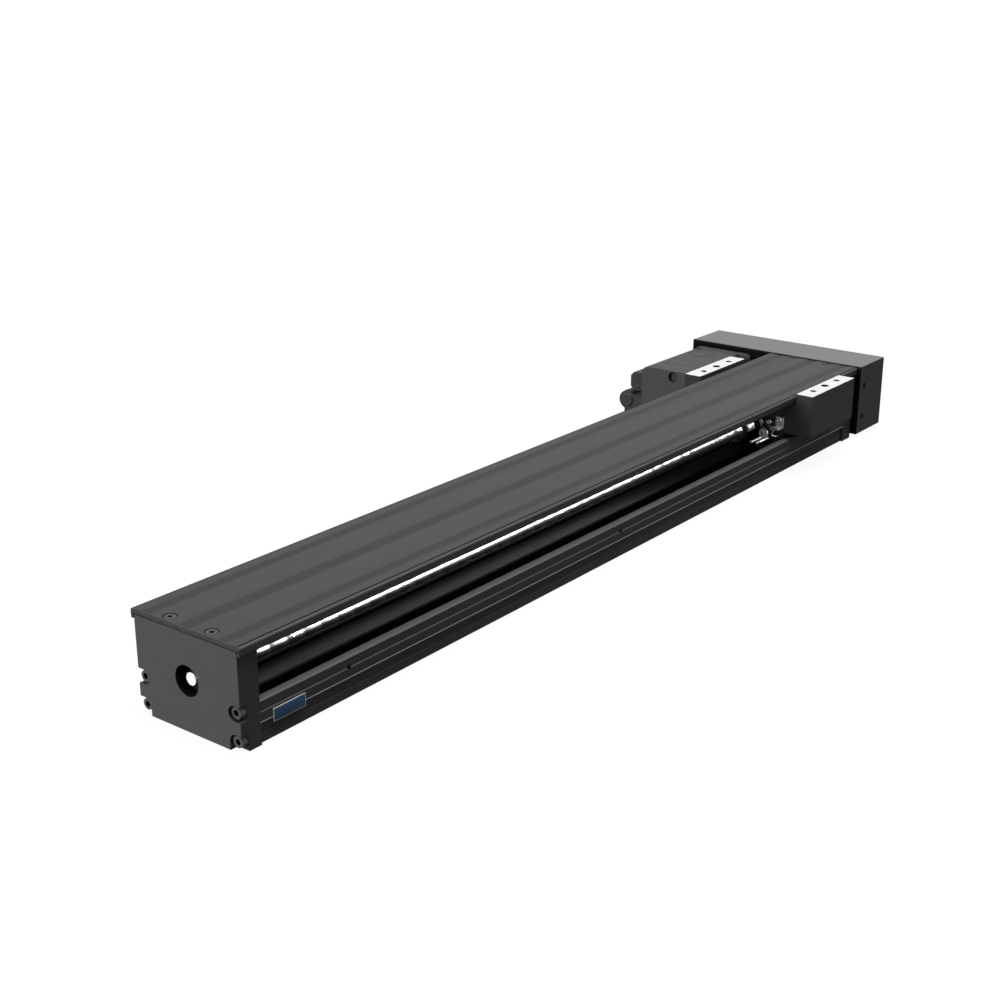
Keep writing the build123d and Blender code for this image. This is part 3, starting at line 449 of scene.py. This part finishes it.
def finish_surface(name, dark, light, rough, metallic=0.0, specular=0.5, cloud=18.0, grain=1600.0,
                   depth=0.02, stretch=(1.0, 1.0, 1.0), edge=0.35, painted_shading=None, dull=None):
    """A finish with slow changes of tone, a varied roughness and a fine grain."""
    tree = Tree(name, rough[0], metallic, specular)
    slow = tree.noise(cloud, 5.0, stretch)
    colour = tree.ramp(slow, dark, light)
    roughness = tree.rescale(slow, *rough)
    tree.dress("Base Color", painted_shading(tree, colour) if painted_shading else colour)
    tree.dress("Roughness", dull(tree, roughness) if dull else roughness)
    fine = tree.noise(grain, 3.0, stretch)
    tree.dress("Normal", tree.relief(fine, 0.25, depth * MM, edge))
    return tree.material


# Clouds and grains that finishes share
OXIDE_GRAIN = {"cloud": 90.0, "grain": 2500.0}
DRAWN_GRAIN = {"cloud": 60.0, "grain": 900.0, "stretch": ALONG_X}
GROUND_GRAIN = {"cloud": 50.0, "grain": 1500.0, "depth": 0.008, "stretch": ALONG_X}
FINE_GRAIN = {"grain": 1500.0, "depth": 0.006}

anodised = finish_surface("black_anodised_extrusion", grey(0.046), grey(0.053), (0.42, 0.50),
                          specular=0.2, edge=0.5, painted_shading=extrusion_painted_shading, dull=channel_dullness,
                          **DRAWN_GRAIN)
cover_metal = finish_surface("black_anodised_cover", grey(0.060), grey(0.070), (0.42, 0.50),
                             specular=0.2, edge=0.2, painted_shading=cover_painted_shading, **DRAWN_GRAIN)
anodised_plate = finish_surface("black_anodised_plate", grey(0.048), grey(0.055), (0.44, 0.52),
                                specular=0.2, cloud=14.0, grain=1500.0, painted_shading=plate_painted_shading)
belt_plate_metal = finish_surface("black_belt_plate", grey(0.005), grey(0.007), (0.6, 0.7),
                                  specular=0.05, cloud=14.0, grain=1500.0)
housing_coat = finish_surface("grey_powder_coat", grey(0.059), grey(0.067), (0.45, 0.55),
                              specular=0.2, cloud=30.0, grain=700.0, depth=0.05,
                              painted_shading=housing_painted_shading)
motor_coat = finish_surface("satin_black_motor", grey(0.078), grey(0.088), (0.38, 0.46),
                            specular=0.2, cloud=20.0, grain=1100.0, depth=0.03, edge=0.6,
                            painted_shading=motor_painted_shading)
black_oxide = finish_surface("black_oxide_screw", grey(0.16), grey(0.20), (0.30, 0.42), 0.2,
                             **OXIDE_GRAIN)
cover_screw_oxide = finish_surface("black_oxide_cover_screw", grey(0.085), grey(0.105),
                                   (0.34, 0.44), 0.1, painted_shading=cover_socket_painted_shade, **OXIDE_GRAIN)
plate_screw_oxide = finish_surface("black_oxide_plate_screw", grey(0.16), grey(0.20),
                                   (0.30, 0.42), 0.2, painted_shading=plate_socket_painted_shade, **OXIDE_GRAIN)
# Black oxide painted nearly black as shade, for the housing's side screws and the nut's screws
side_screw_painted_shade_oxide = finish_surface("black_oxide_side_screw_painted_shade", grey(0.003), grey(0.005), (0.5, 0.6),
                                  specular=0.1, **OXIDE_GRAIN)
plug_plastic = finish_surface("satin_plug_shell", grey(0.060), grey(0.072), (0.45, 0.55),
                              specular=0.2, cloud=40.0, grain=1200.0, depth=0.04)
ground_steel = finish_surface("ground_steel", grey(0.72), grey(0.82), (0.20, 0.25), 1.0,
                              **GROUND_GRAIN)
nut_steel = finish_surface("ground_nut", grey(0.72), grey(0.82), (0.16, 0.22), 1.0, cloud=50.0,
                           painted_shading=nut_painted_shading, **FINE_GRAIN)
guide_steel = finish_surface("guide_steel", grey(0.050), grey(0.070), (0.45, 0.55), 0.6,
                             **GROUND_GRAIN)
# Rail steel painted dark as the shade inside the channel
rail_steel_painted_shade = finish_surface("rail_steel_painted_shade", grey(0.030), grey(0.040), (0.45, 0.55), 0.3,
                            **GROUND_GRAIN)
bearing_steel = finish_surface("bearing_steel", grey(0.55), grey(0.66), (0.18, 0.30), 1.0,
                               cloud=60.0, **FINE_GRAIN)
machined_aluminium = finish_surface("machined_aluminium", grey(0.60), grey(0.70), (0.28, 0.38), 1.0,
                                    cloud=40.0, grain=1300.0, depth=0.01)
zinc_plate = finish_surface("bright_zinc_plate", grey(0.55), grey(0.70), (0.22, 0.34), 0.8,
                            cloud=70.0, grain=1500.0, depth=0.01)
# The screw's faced end, painted near white as a highlight
shaft_end_painted_highlight = finish_surface("faced_shaft_end_painted_highlight", grey(0.90), grey(0.95), (0.45, 0.55), 0.1,
                             cloud=90.0, **FINE_GRAIN)
black_plastic = finish_surface("black_moulded_plastic", grey(0.030), grey(0.042), (0.50, 0.62),
                               specular=0.3, cloud=40.0, grain=1200.0, depth=0.05)
black_rubber = finish_surface("black_rubber", grey(0.012), grey(0.018), (0.65, 0.80),
                              specular=0.2, cloud=40.0, grain=1000.0, depth=0.05)
label_blue = finish_surface("label_muted_blue", (0.030, 0.075, 0.165), (0.036, 0.085, 0.180),
                            (0.35, 0.45), specular=0.3, cloud=60.0, grain=900.0)
label_edge = finish_surface("label_border", grey(0.62), grey(0.68), (0.35, 0.45), specular=0.3,
                            cloud=60.0, grain=900.0)

# The tapped holes in the ears, and the larger pin bore halfway, painted black as shade: place along
# X and radius
EAR_HOLES = ((0.0, 4.8 * MM), (30.0 * MM, 3.8 * MM))
EAR_HOLE_INSET = 12.0 * MM
EAR_TOP_SKIN = 0.2 * MM


def carriage_finish():
    """Black anodising, with the tops of the two ears milled bright after it, and painted shade in
    the ears' holes.
    """
    tree = Tree("anodised_with_milled_tops", 0.46, specular=0.2)
    black = tree.ramp(tree.noise(16.0, 5.0), grey(0.050), grey(0.058))
    bright = tree.ramp(tree.noise(500.0, 3.0, (1.0, 0.06, 1.0)), grey(0.94), grey(0.98))
    top = tree.above(tree.axis("Z"), ears_high.z - EAR_TOP_SKIN)
    colour = tree.blend(top, black, bright)
    along = tree.off(tree.axis("X"), (ears_low.x + ears_high.x) / 2)
    across = tree.off(tree.axis("Y"))
    for place, size in EAR_HOLES:
        radius = tree.radius(along, place, across, ears_high.y - EAR_HOLE_INSET)
        colour = tree.blend(tree.below(radius, size), colour, HOLE_PAINTED_SHADE)
    tree.dress("Base Color", colour)
    tree.dress("Metallic", tree.both(top, 0.3))
    tree.dress("Normal", tree.relief(tree.noise(1500.0, 3.0), 0.25, 0.02 * MM, 0.35))
    return tree.material


carriage_metal = carriage_finish()


def paint(node, material):
    """Gives a node's object one material."""
    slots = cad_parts[node].data.materials
    slots.clear()
    slots.append(material)


finishes = {
    anodised: ["base_extrusion"],
    cover_metal: ["top_cover"],
    anodised_plate: ["near_end_plate", "far_end_block"],
    belt_plate_metal: ["belt_plate"],
    carriage_metal: ["carriage_block"],
    housing_coat: ["belt_cover"],
    motor_coat: ["motor_body", "motor_rear_cover", "motor_flange"],
    cover_screw_oxide: ["cover_screws"],
    side_screw_painted_shade_oxide: ["belt_cover_screws", "nut_screws"],
    plug_plastic: ["signal_connector", "power_connector"],
    plate_screw_oxide: ["near_plate_screws"],
    black_oxide: ["far_block_screws", "belt_plate_screws", "motor_screws", "retainer_screws",
                  "rail_screws_left", "rail_screws_right", "guide_block_screws"],
    ground_steel: ["ball_screw"],
    nut_steel: ["ball_nut"],
    rail_steel_painted_shade: ["guide_rail_left", "guide_rail_right"],
    guide_steel: ["guide_block_idle_left", "guide_block_idle_right", "guide_block_drive_left",
                  "guide_block_drive_right"],
    bearing_steel: ["idle_bearing_outer_ring", "idle_bearing_inner_ring", "idle_bearing_balls",
                    "drive_bearing_outer_rings", "drive_bearing_inner_rings",
                    "drive_bearing_balls", "lock_nut", "bearing_retainer", "motor_shaft"],
    machined_aluminium: ["screw_pulley", "motor_pulley"],
    zinc_plate: ["sensor_flag", "bracket_screws"],
    black_plastic: ["grease_fitting", "guide_caps_idle_left", "guide_caps_idle_right",
                    "guide_caps_drive_left", "guide_caps_drive_right"],
    black_rubber: ["bumpers_idle_end", "bumpers_drive_end", "timing_belt"],
}
for material, nodes in finishes.items():
    for node in nodes:
        paint(node, material)


# Pieces that the solids leave plain

def new_object(name, work, material):
    """Turns a bmesh into an object of the scene."""
    mesh = bpy.data.meshes.new(name)
    work.to_mesh(mesh)
    work.free()
    mesh.materials.append(material)
    thing = bpy.data.objects.new(name, mesh)
    bpy.context.collection.objects.link(thing)
    return thing


def add_piece(name, work, material, body, smooth_angle=35.0):
    """Makes a piece from a bmesh, riding on a body."""
    bmesh.ops.remove_doubles(work, verts=work.verts, dist=1e-7)
    bmesh.ops.recalc_face_normals(work, faces=work.faces)
    thing = new_object(name, work, material)
    for face in thing.data.polygons:
        face.use_smooth = True
    thing.data.set_sharp_from_angle(angle=math.radians(smooth_angle))
    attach(thing, body)
    return thing


def lathe(work, profile, y, z, steps=48):
    """Turns an (x, radius) profile in metres round an axis parallel to X."""
    points = [work.verts.new((x, y, z + radius)) for x, radius in profile]
    edges = [work.edges.new(pair) for pair in zip(points, points[1:])]
    bmesh.ops.spin(work, geom=points + edges, cent=(0, y, z), axis=(1, 0, 0),
                   angle=2 * math.pi, steps=steps, use_merge=True)


def plate(work, low, high, edge=0.0):
    """A box with its edges broken."""
    made = bmesh.ops.create_cube(work, size=1.0)
    size = Vector(high) - Vector(low)
    middle = (Vector(high) + Vector(low)) / 2
    bmesh.ops.scale(work, verts=made["verts"], vec=size)
    bmesh.ops.translate(work, verts=made["verts"], vec=middle)
    if edge:
        edges = {e for v in made["verts"] for e in v.link_edges}
        bmesh.ops.bevel(work, geom=list(edges), offset=edge, segments=2, profile=0.5,
                        affect="EDGES")


def tube(work, path, radius, sides=8):
    """A round tube along a list of points."""
    path = [Vector(point) for point in path]
    rings = []
    for place, point in enumerate(path):
        ahead = path[min(place + 1, len(path) - 1)] - path[max(place - 1, 0)]
        turn = ahead.normalized().to_track_quat("Z", "Y").to_matrix().to_4x4()
        made = bmesh.ops.create_circle(work, segments=sides, radius=radius,
                                       matrix=Matrix.Translation(point) @ turn)
        rings.append(made["verts"])
    for first, second in zip(rings, rings[1:]):
        loops = [{e for v in ring for e in v.link_edges
                  if e.other_vert(v) in ring} for ring in (first, second)]
        bmesh.ops.bridge_loops(work, edges=list(loops[0] | loops[1]))
    for ring in (rings[0], rings[-1]):
        bmesh.ops.contextual_create(work, geom=ring)


def curve_through(points, steps=6):
    """A smooth path through the given points."""
    points = [Vector(point) for point in points]
    path = []
    for place in range(len(points) - 1):
        before = points[max(place - 1, 0)]
        start, end = points[place], points[place + 1]
        after = points[min(place + 2, len(points) - 1)]
        for step in range(steps):
            t = step / steps
            path.append(0.5 * (2 * start + (end - before) * t
                               + (2 * before - 5 * start + 4 * end - after) * t * t
                               + (3 * start - before - 3 * end + after) * t ** 3))
    path.append(points[-1])
    return path


SCREW_RADIUS = 10.0 * MM
LEAD = 20.0 * MM
THREAD_DEPTH = 0.20 * MM
THREAD_HALF = 1.3 * MM
THREAD_STEPS = 36
# The threaded length starts and ends this far inside the base
THREAD_INSET = 5.0 * MM
# The turned ends overlap the thread's last crests by this much
RUN_OUT = 0.01 * MM


def ball_track(work, start, turns):
    """The threaded length: one turn of the right-hand ball track, repeated along the screw."""
    points = [work.verts.new((start, screw_y, screw_z + SCREW_RADIUS))]
    for part in range(-4, 5):
        across = part / 4
        depth = THREAD_DEPTH * math.sqrt(1 - across * across)
        points.append(work.verts.new((start + LEAD / 2 + across * THREAD_HALF, screw_y,
                                      screw_z + SCREW_RADIUS - depth)))
    points.append(work.verts.new((start + LEAD, screw_y, screw_z + SCREW_RADIUS)))
    edges = [work.edges.new(pair) for pair in zip(points, points[1:])]
    bmesh.ops.spin(work, geom=points + edges, cent=(0, screw_y, screw_z), axis=(1, 0, 0),
                   dvec=(LEAD / THREAD_STEPS, 0, 0), angle=2 * math.pi, steps=THREAD_STEPS)
    one_turn = work.verts[:] + work.edges[:] + work.faces[:]
    for turn in range(1, turns):
        copy = bmesh.ops.duplicate(work, geom=one_turn)["geom"]
        moved = [part for part in copy if isinstance(part, bmesh.types.BMVert)]
        bmesh.ops.translate(work, verts=moved, vec=(turn * LEAD, 0, 0))


def threaded_screw():
    """The ball screw with its ball track, and the turned journals at both ends."""
    start = base_low.x + THREAD_INSET
    end = base_high.x - THREAD_INSET
    turns = int((end - start - LEAD) / LEAD)
    work = bmesh.new()
    ball_track(work, start, turns)
    idle_end = [(screw_low.x, 0), (screw_low.x, 5.5), (screw_low.x + 0.5 * MM, 6.0),
                (base_low.x - 1 * MM, 6.0), (base_low.x - 1 * MM, 8.0), (start, 8.0),
                (start, 9.5), (start + 0.5 * MM, 10.0), (start + LEAD, 10.0)]
    drive_end = [(start + turns * LEAD, 10.0), (end - 0.5 * MM, 10.0), (end, 9.5), (end, 9.0),
                 (drive_ring_low.x, 9.0), (drive_ring_low.x, 7.5), (lock_nut_high.x, 7.5),
                 (lock_nut_high.x, 6.0), (screw_high.x - 0.5 * MM, 6.0), (screw_high.x, 5.5),
                 (screw_high.x, 0)]
    for profile in (idle_end, drive_end):
        lathe(work, [(x, radius * MM + (RUN_OUT if radius == 10.0 else 0))
                     for x, radius in profile], screw_y, screw_z)
    thing = add_piece("threaded_ball_screw", work, ground_steel, "screw", 30.0)
    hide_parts("ball_screw")


threaded_screw()

# The faced end of the screw, painted near white as a highlight, and the dust seal of the idle
# bearing round it
work = bmesh.new()
face = screw_low.x - 0.05 * MM
lathe(work, [(face, 0), (face, 5.4 * MM), (screw_low.x + 0.4 * MM, 5.9 * MM)], screw_y, screw_z)
add_piece("screw_end_face", work, shaft_end_painted_highlight, "screw")
seal_back = idle_ring_low.x - 0.1 * MM
seal_front = idle_ring_low.x - 0.6 * MM
work = bmesh.new()
lathe(work, [(seal_back, 6.3 * MM), (seal_front, 7.0 * MM), (seal_front, 12.6 * MM),
             (seal_back, 13.2 * MM), (seal_back, 6.3 * MM)], screw_y, screw_z)
add_piece("idle_bearing_seal", work, black_rubber, "base")


# The blank label on the base's right side: a plate with a pale border, and its coloured field
LABEL_X = (-487.0 * MM, -451.5 * MM)
LABEL_Z = (14.6 * MM, 26.2 * MM)
LABEL_BORDER = 0.7 * MM
side_y = base_low.y
work = bmesh.new()
plate(work, (LABEL_X[0], side_y - 0.7 * MM, LABEL_Z[0]), (LABEL_X[1], side_y, LABEL_Z[1]),
      0.15 * MM)
add_piece("label_plate", work, label_edge, "base")
work = bmesh.new()
plate(work, (LABEL_X[0] + LABEL_BORDER, side_y - 0.85 * MM, LABEL_Z[0] + LABEL_BORDER),
      (LABEL_X[1] - LABEL_BORDER, side_y - 0.6 * MM, LABEL_Z[1] - LABEL_BORDER), 0.05 * MM)
add_piece("label_field", work, label_blue, "base")


# The motor: a ring seam on its top, in mm round a middle, then its plugs' rings and screws
SEAM_MIDDLE = (487, 142)
SEAM_RADII = (18, 16)
SEAM_STEPS = 24
SEAM_START, SEAM_SWEEP = 115, 205
work = bmesh.new()
ring = []
for step in range(SEAM_STEPS + 1):
    turn = math.radians(SEAM_START + step * SEAM_SWEEP / SEAM_STEPS)
    ring.append((SEAM_MIDDLE[0] * MM + SEAM_RADII[0] * MM * math.cos(turn),
                 SEAM_MIDDLE[1] * MM + SEAM_RADII[1] * MM * math.sin(turn),
                 motor_high.z - 0.1 * MM))
tube(work, ring, 0.35 * MM)
add_piece("motor_top_seam", work, black_rubber, "base")

PLUG_RADIUS = 12.0 * MM
PLUG_HEIGHT = 37.0 * MM
PLUG_RINGS = (5.0 * MM, 17.0 * MM, 29.0 * MM)
plug_y = plug_high.y - PLUG_RADIUS
work = bmesh.new()
lathe(work, [(plug_low.x - 2.0 * MM, 0.0), (plug_low.x - 2.0 * MM, 7.6 * MM),
             (plug_low.x - 1.0 * MM, 8.6 * MM), (plug_low.x, 8.8 * MM),
             (plug_low.x + 1.5 * MM, 8.8 * MM)], plug_y, PLUG_HEIGHT, 40)
for place in PLUG_RINGS:
    x = plug_low.x + place
    lathe(work, [(x, PLUG_RADIUS - 0.2 * MM), (x + 0.3 * MM, PLUG_RADIUS + 0.5 * MM),
                 (x + 2.7 * MM, PLUG_RADIUS + 0.5 * MM), (x + 3.0 * MM, PLUG_RADIUS - 0.2 * MM)],
          plug_y, PLUG_HEIGHT, 40)
add_piece("power_plug_rings", work, plug_plastic, "base")

work = bmesh.new()
x = signal_low.x
for z in (signal_low.z + 4.5 * MM, signal_high.z - 7.0 * MM):
    lathe(work, [(x - 0.9 * MM, 0.0), (x - 0.9 * MM, 1.7 * MM), (x - 0.6 * MM, 2.0 * MM),
                 (x + 0.2 * MM, 2.0 * MM)], signal_low.y + 5.5 * MM, z, 20)
add_piece("signal_plug_screws", work, plug_plastic, "base")


# The nut: a wiper ring at its face
work = bmesh.new()
lathe(work, [(nut_low.x - 0.8 * MM, 10.5 * MM), (nut_low.x - 1.2 * MM, 11.0 * MM),
             (nut_low.x - 1.2 * MM, 15.2 * MM), (nut_low.x + 0.2 * MM, 16.0 * MM)],
      screw_y, screw_z)
add_piece("nut_wiper", work, black_plastic, "carriage")


# The grease fitting: slotted disc face, bright pins, and a thin lead beside it
GREASE_HEIGHT = 45.0 * MM
DISC_BEHIND = 16.0 * MM
SLOT_LENGTH = 8.6 * MM
SLOT_WIDTH = 0.35 * MM
grease_y = (grease_low.y + grease_high.y) / 2
disc_x = grease_high.x - DISC_BEHIND
work = bmesh.new()
lathe(work, [(disc_x - 0.5 * MM, 0.0), (disc_x - 0.5 * MM, 2.2 * MM), (disc_x - 0.1 * MM, 2.6 * MM),
             (disc_x - 0.1 * MM, 4.6 * MM), (disc_x - 0.6 * MM, 5.0 * MM),
             (disc_x - 0.6 * MM, 5.6 * MM), (disc_x + 0.2 * MM, 5.9 * MM)],
      grease_y, GREASE_HEIGHT, 36)
for wide, tall in ((SLOT_WIDTH, SLOT_LENGTH), (SLOT_LENGTH, SLOT_WIDTH)):
    plate(work, (disc_x - 0.75 * MM, grease_y - wide / 2, GREASE_HEIGHT - tall / 2),
          (disc_x, grease_y + wide / 2, GREASE_HEIGHT + tall / 2))
add_piece("grease_disc_face", work, zinc_plate, "carriage")

PIN_REACH = 8.0 * MM
PIN_SIDE = 3.5 * MM
PIN_DROP = 6.0 * MM
tip = grease_low.x - PIN_REACH
work = bmesh.new()
for side in (-1, 1):
    lathe(work, [(tip - 1.6 * MM, 0.0), (tip - 1.4 * MM, 1.1 * MM), (tip, 1.8 * MM),
                 (tip + 1.6 * MM, 1.1 * MM), (grease_low.x - 1 * MM, 1.1 * MM),
                 (grease_low.x, 1.5 * MM), (grease_high.x - 12.2 * MM, 1.5 * MM)],
          grease_y + side * PIN_SIDE, GREASE_HEIGHT - PIN_DROP, 16)
add_piece("grease_pin_sleeves", work, zinc_plate, "carriage")

# The thin lead's points, in mm: back from the fitting's front, out from its side, and height
LEAD_POINTS = ((2.0, 0.6, 52), (8.0, 3.2, 50), (11.0, 2.2, 44), (7.0, 4.2, 41), (0.5, 4.6, 40))
work = bmesh.new()
tube(work, curve_through([(grease_high.x - back * MM, grease_low.y - out * MM, height * MM)
                          for back, out, height in LEAD_POINTS]), 0.45 * MM)
add_piece("thin_lead", work, zinc_plate, "carriage")


# Floor, light and camera

def stage_piece(name, work, material):
    """A floor or wall that only the camera sees, outside the object."""
    thing = new_object(name, work, material)
    thing.visible_diffuse = False
    thing.visible_glossy = False
    return thing


studio_white = Tree("studio_white", 0.9, specular=0.0)
studio_white.dress("Base Color", (0.08, 0.08, 0.08))
studio_white.dress("Emission Color", (1.0, 1.0, 1.0))
studio_white.dress("Emission Strength", 0.93)
FLOOR_HALF = 60.0
WALL_RADIUS = 50.0
work = bmesh.new()
bmesh.ops.create_grid(work, x_segments=1, y_segments=1, size=FLOOR_HALF)
bmesh.ops.translate(work, verts=work.verts, vec=(0, 0, -0.2 * MM))
stage_piece("studio_floor", work, studio_white.material)
work = bmesh.new()
bmesh.ops.create_cone(work, cap_ends=False, segments=64, radius1=WALL_RADIUS,
                      radius2=WALL_RADIUS, depth=2 * WALL_RADIUS)
stage_piece("studio_wall", work, studio_white.material).visible_shadow = False


def add_light(name, kind, strength):
    """A light with its own name, placed by the caller."""
    light = bpy.data.lights.new(name, kind)
    light.energy = strength
    thing = bpy.data.objects.new(name, light)
    bpy.context.collection.objects.link(thing)
    return thing


def group_of(name, things):
    """A collection that a light is linked to."""
    group = bpy.data.collections.new(name)
    for thing in things:
        group.objects.link(thing)
    return group


def sun(name, towards, strength, spread):
    """A soft distant light that shines from the given direction."""
    thing = add_light(name, "SUN", strength)
    thing.data.angle = math.radians(spread)
    thing.rotation_mode = "QUATERNION"
    thing.rotation_quaternion = Vector(towards).normalized().to_track_quat("Z", "Y")
    return thing


sun("light_above", (0.05, -0.16, 0.98), 2.2, 30)
sun("light_idle_end", (-1.0, 0.35, 0.30), 1.2, 30)
end_light = sun("light_shaft_end", (-1.0, 0.0, 0.05), 2.0, 10)
end_light.light_linking.receiver_collection = group_of("shaft_end",
                                                       [bpy.data.objects["screw_end_face"]])

# A long soft box beside the base that shines through the slot on the bright pieces
SLOT_LIGHT_PLACE = (1.05, -0.95, 0.32)
SLOT_LIGHT_SIZE = (1.9, 0.60)
SLOT_LIGHT_STRENGTH = 17.0
BRIGHT_PARTS = ("threaded_ball_screw", "grease_disc_face", "grease_pin_sleeves", "thin_lead")
BRIGHT_NODES = ("ball_nut", "bracket_screws", "sensor_flag")
SLOT_EDGES = ("base_extrusion", "top_cover")

slot_light = add_light("light_slot", "AREA", SLOT_LIGHT_STRENGTH)
slot_light.data.shape = "RECTANGLE"
slot_light.data.size, slot_light.data.size_y = SLOT_LIGHT_SIZE
slot_light.data.cycles.use_multiple_importance_sampling = False
slot_light.location = SLOT_LIGHT_PLACE
slot_light.rotation_euler = (math.radians(90), 0, 0)
slot_light.visible_camera = False
slot_light.light_linking.receiver_collection = group_of(
    "lit_through_slot", [bpy.data.objects[name] for name in BRIGHT_PARTS]
    + [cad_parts[name] for name in BRIGHT_NODES])
slot_light.light_linking.blocker_collection = group_of(
    "slot_edges", [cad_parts[name] for name in SLOT_EDGES])


# The sky leans this way; it is dim below the first height and bright above the second
SKY_LEAN = (0.10, 0.35, 0.93)
SKY_RANGE = (-0.10, 0.80)
SKY_STRENGTH = (0.16, 0.45)


def studio_sky():
    """A soft dome: dim all round, bright above and behind the module."""
    world = bpy.data.worlds.new("studio")
    bpy.context.scene.world = world
    world.use_nodes = True
    nodes = world.node_tree.nodes
    links = world.node_tree.links
    background = nodes["Background"]
    background.inputs["Color"].default_value = (1.0, 1.0, 1.0, 1.0)
    coordinates = nodes.new("ShaderNodeTexCoord")
    lean = nodes.new("ShaderNodeVectorMath")
    lean.operation = "DOT_PRODUCT"
    lean.inputs[1].default_value = Vector(SKY_LEAN).normalized()
    spread = nodes.new("ShaderNodeMapRange")
    spread.interpolation_type = "SMOOTHSTEP"
    spread.inputs["From Min"].default_value, spread.inputs["From Max"].default_value = SKY_RANGE
    spread.inputs["To Min"].default_value, spread.inputs["To Max"].default_value = SKY_STRENGTH
    links.new(coordinates.outputs["Generated"], lean.inputs[0])
    links.new(lean.outputs["Value"], spread.inputs["Value"])
    links.new(spread.outputs["Result"], background.inputs["Strength"])


studio_sky()


# The camera stands where the photograph was taken
CAMERA_PLACE = Vector((-1.2367, -0.8648, 0.5830))
CAMERA_PITCH = math.radians(19.506)
CAMERA_YAW = math.radians(37.842)
CAMERA_LENS = 56.06

camera_data = bpy.data.cameras.new("camera")
camera_data.lens = CAMERA_LENS
camera_data.sensor_width = 36.0
camera_data.clip_start = 0.01
camera_data.clip_end = 200.0
camera = bpy.data.objects.new("camera", camera_data)
camera.location = CAMERA_PLACE
camera.rotation_mode = "QUATERNION"
look = Vector((math.cos(CAMERA_YAW) * math.cos(CAMERA_PITCH),
               math.sin(CAMERA_YAW) * math.cos(CAMERA_PITCH), -math.sin(CAMERA_PITCH)))
camera.rotation_quaternion = look.to_track_quat("-Z", "Y")
bpy.context.collection.objects.link(camera)
bpy.context.scene.camera = camera
bpy.context.scene.view_settings.view_transform = "Standard"
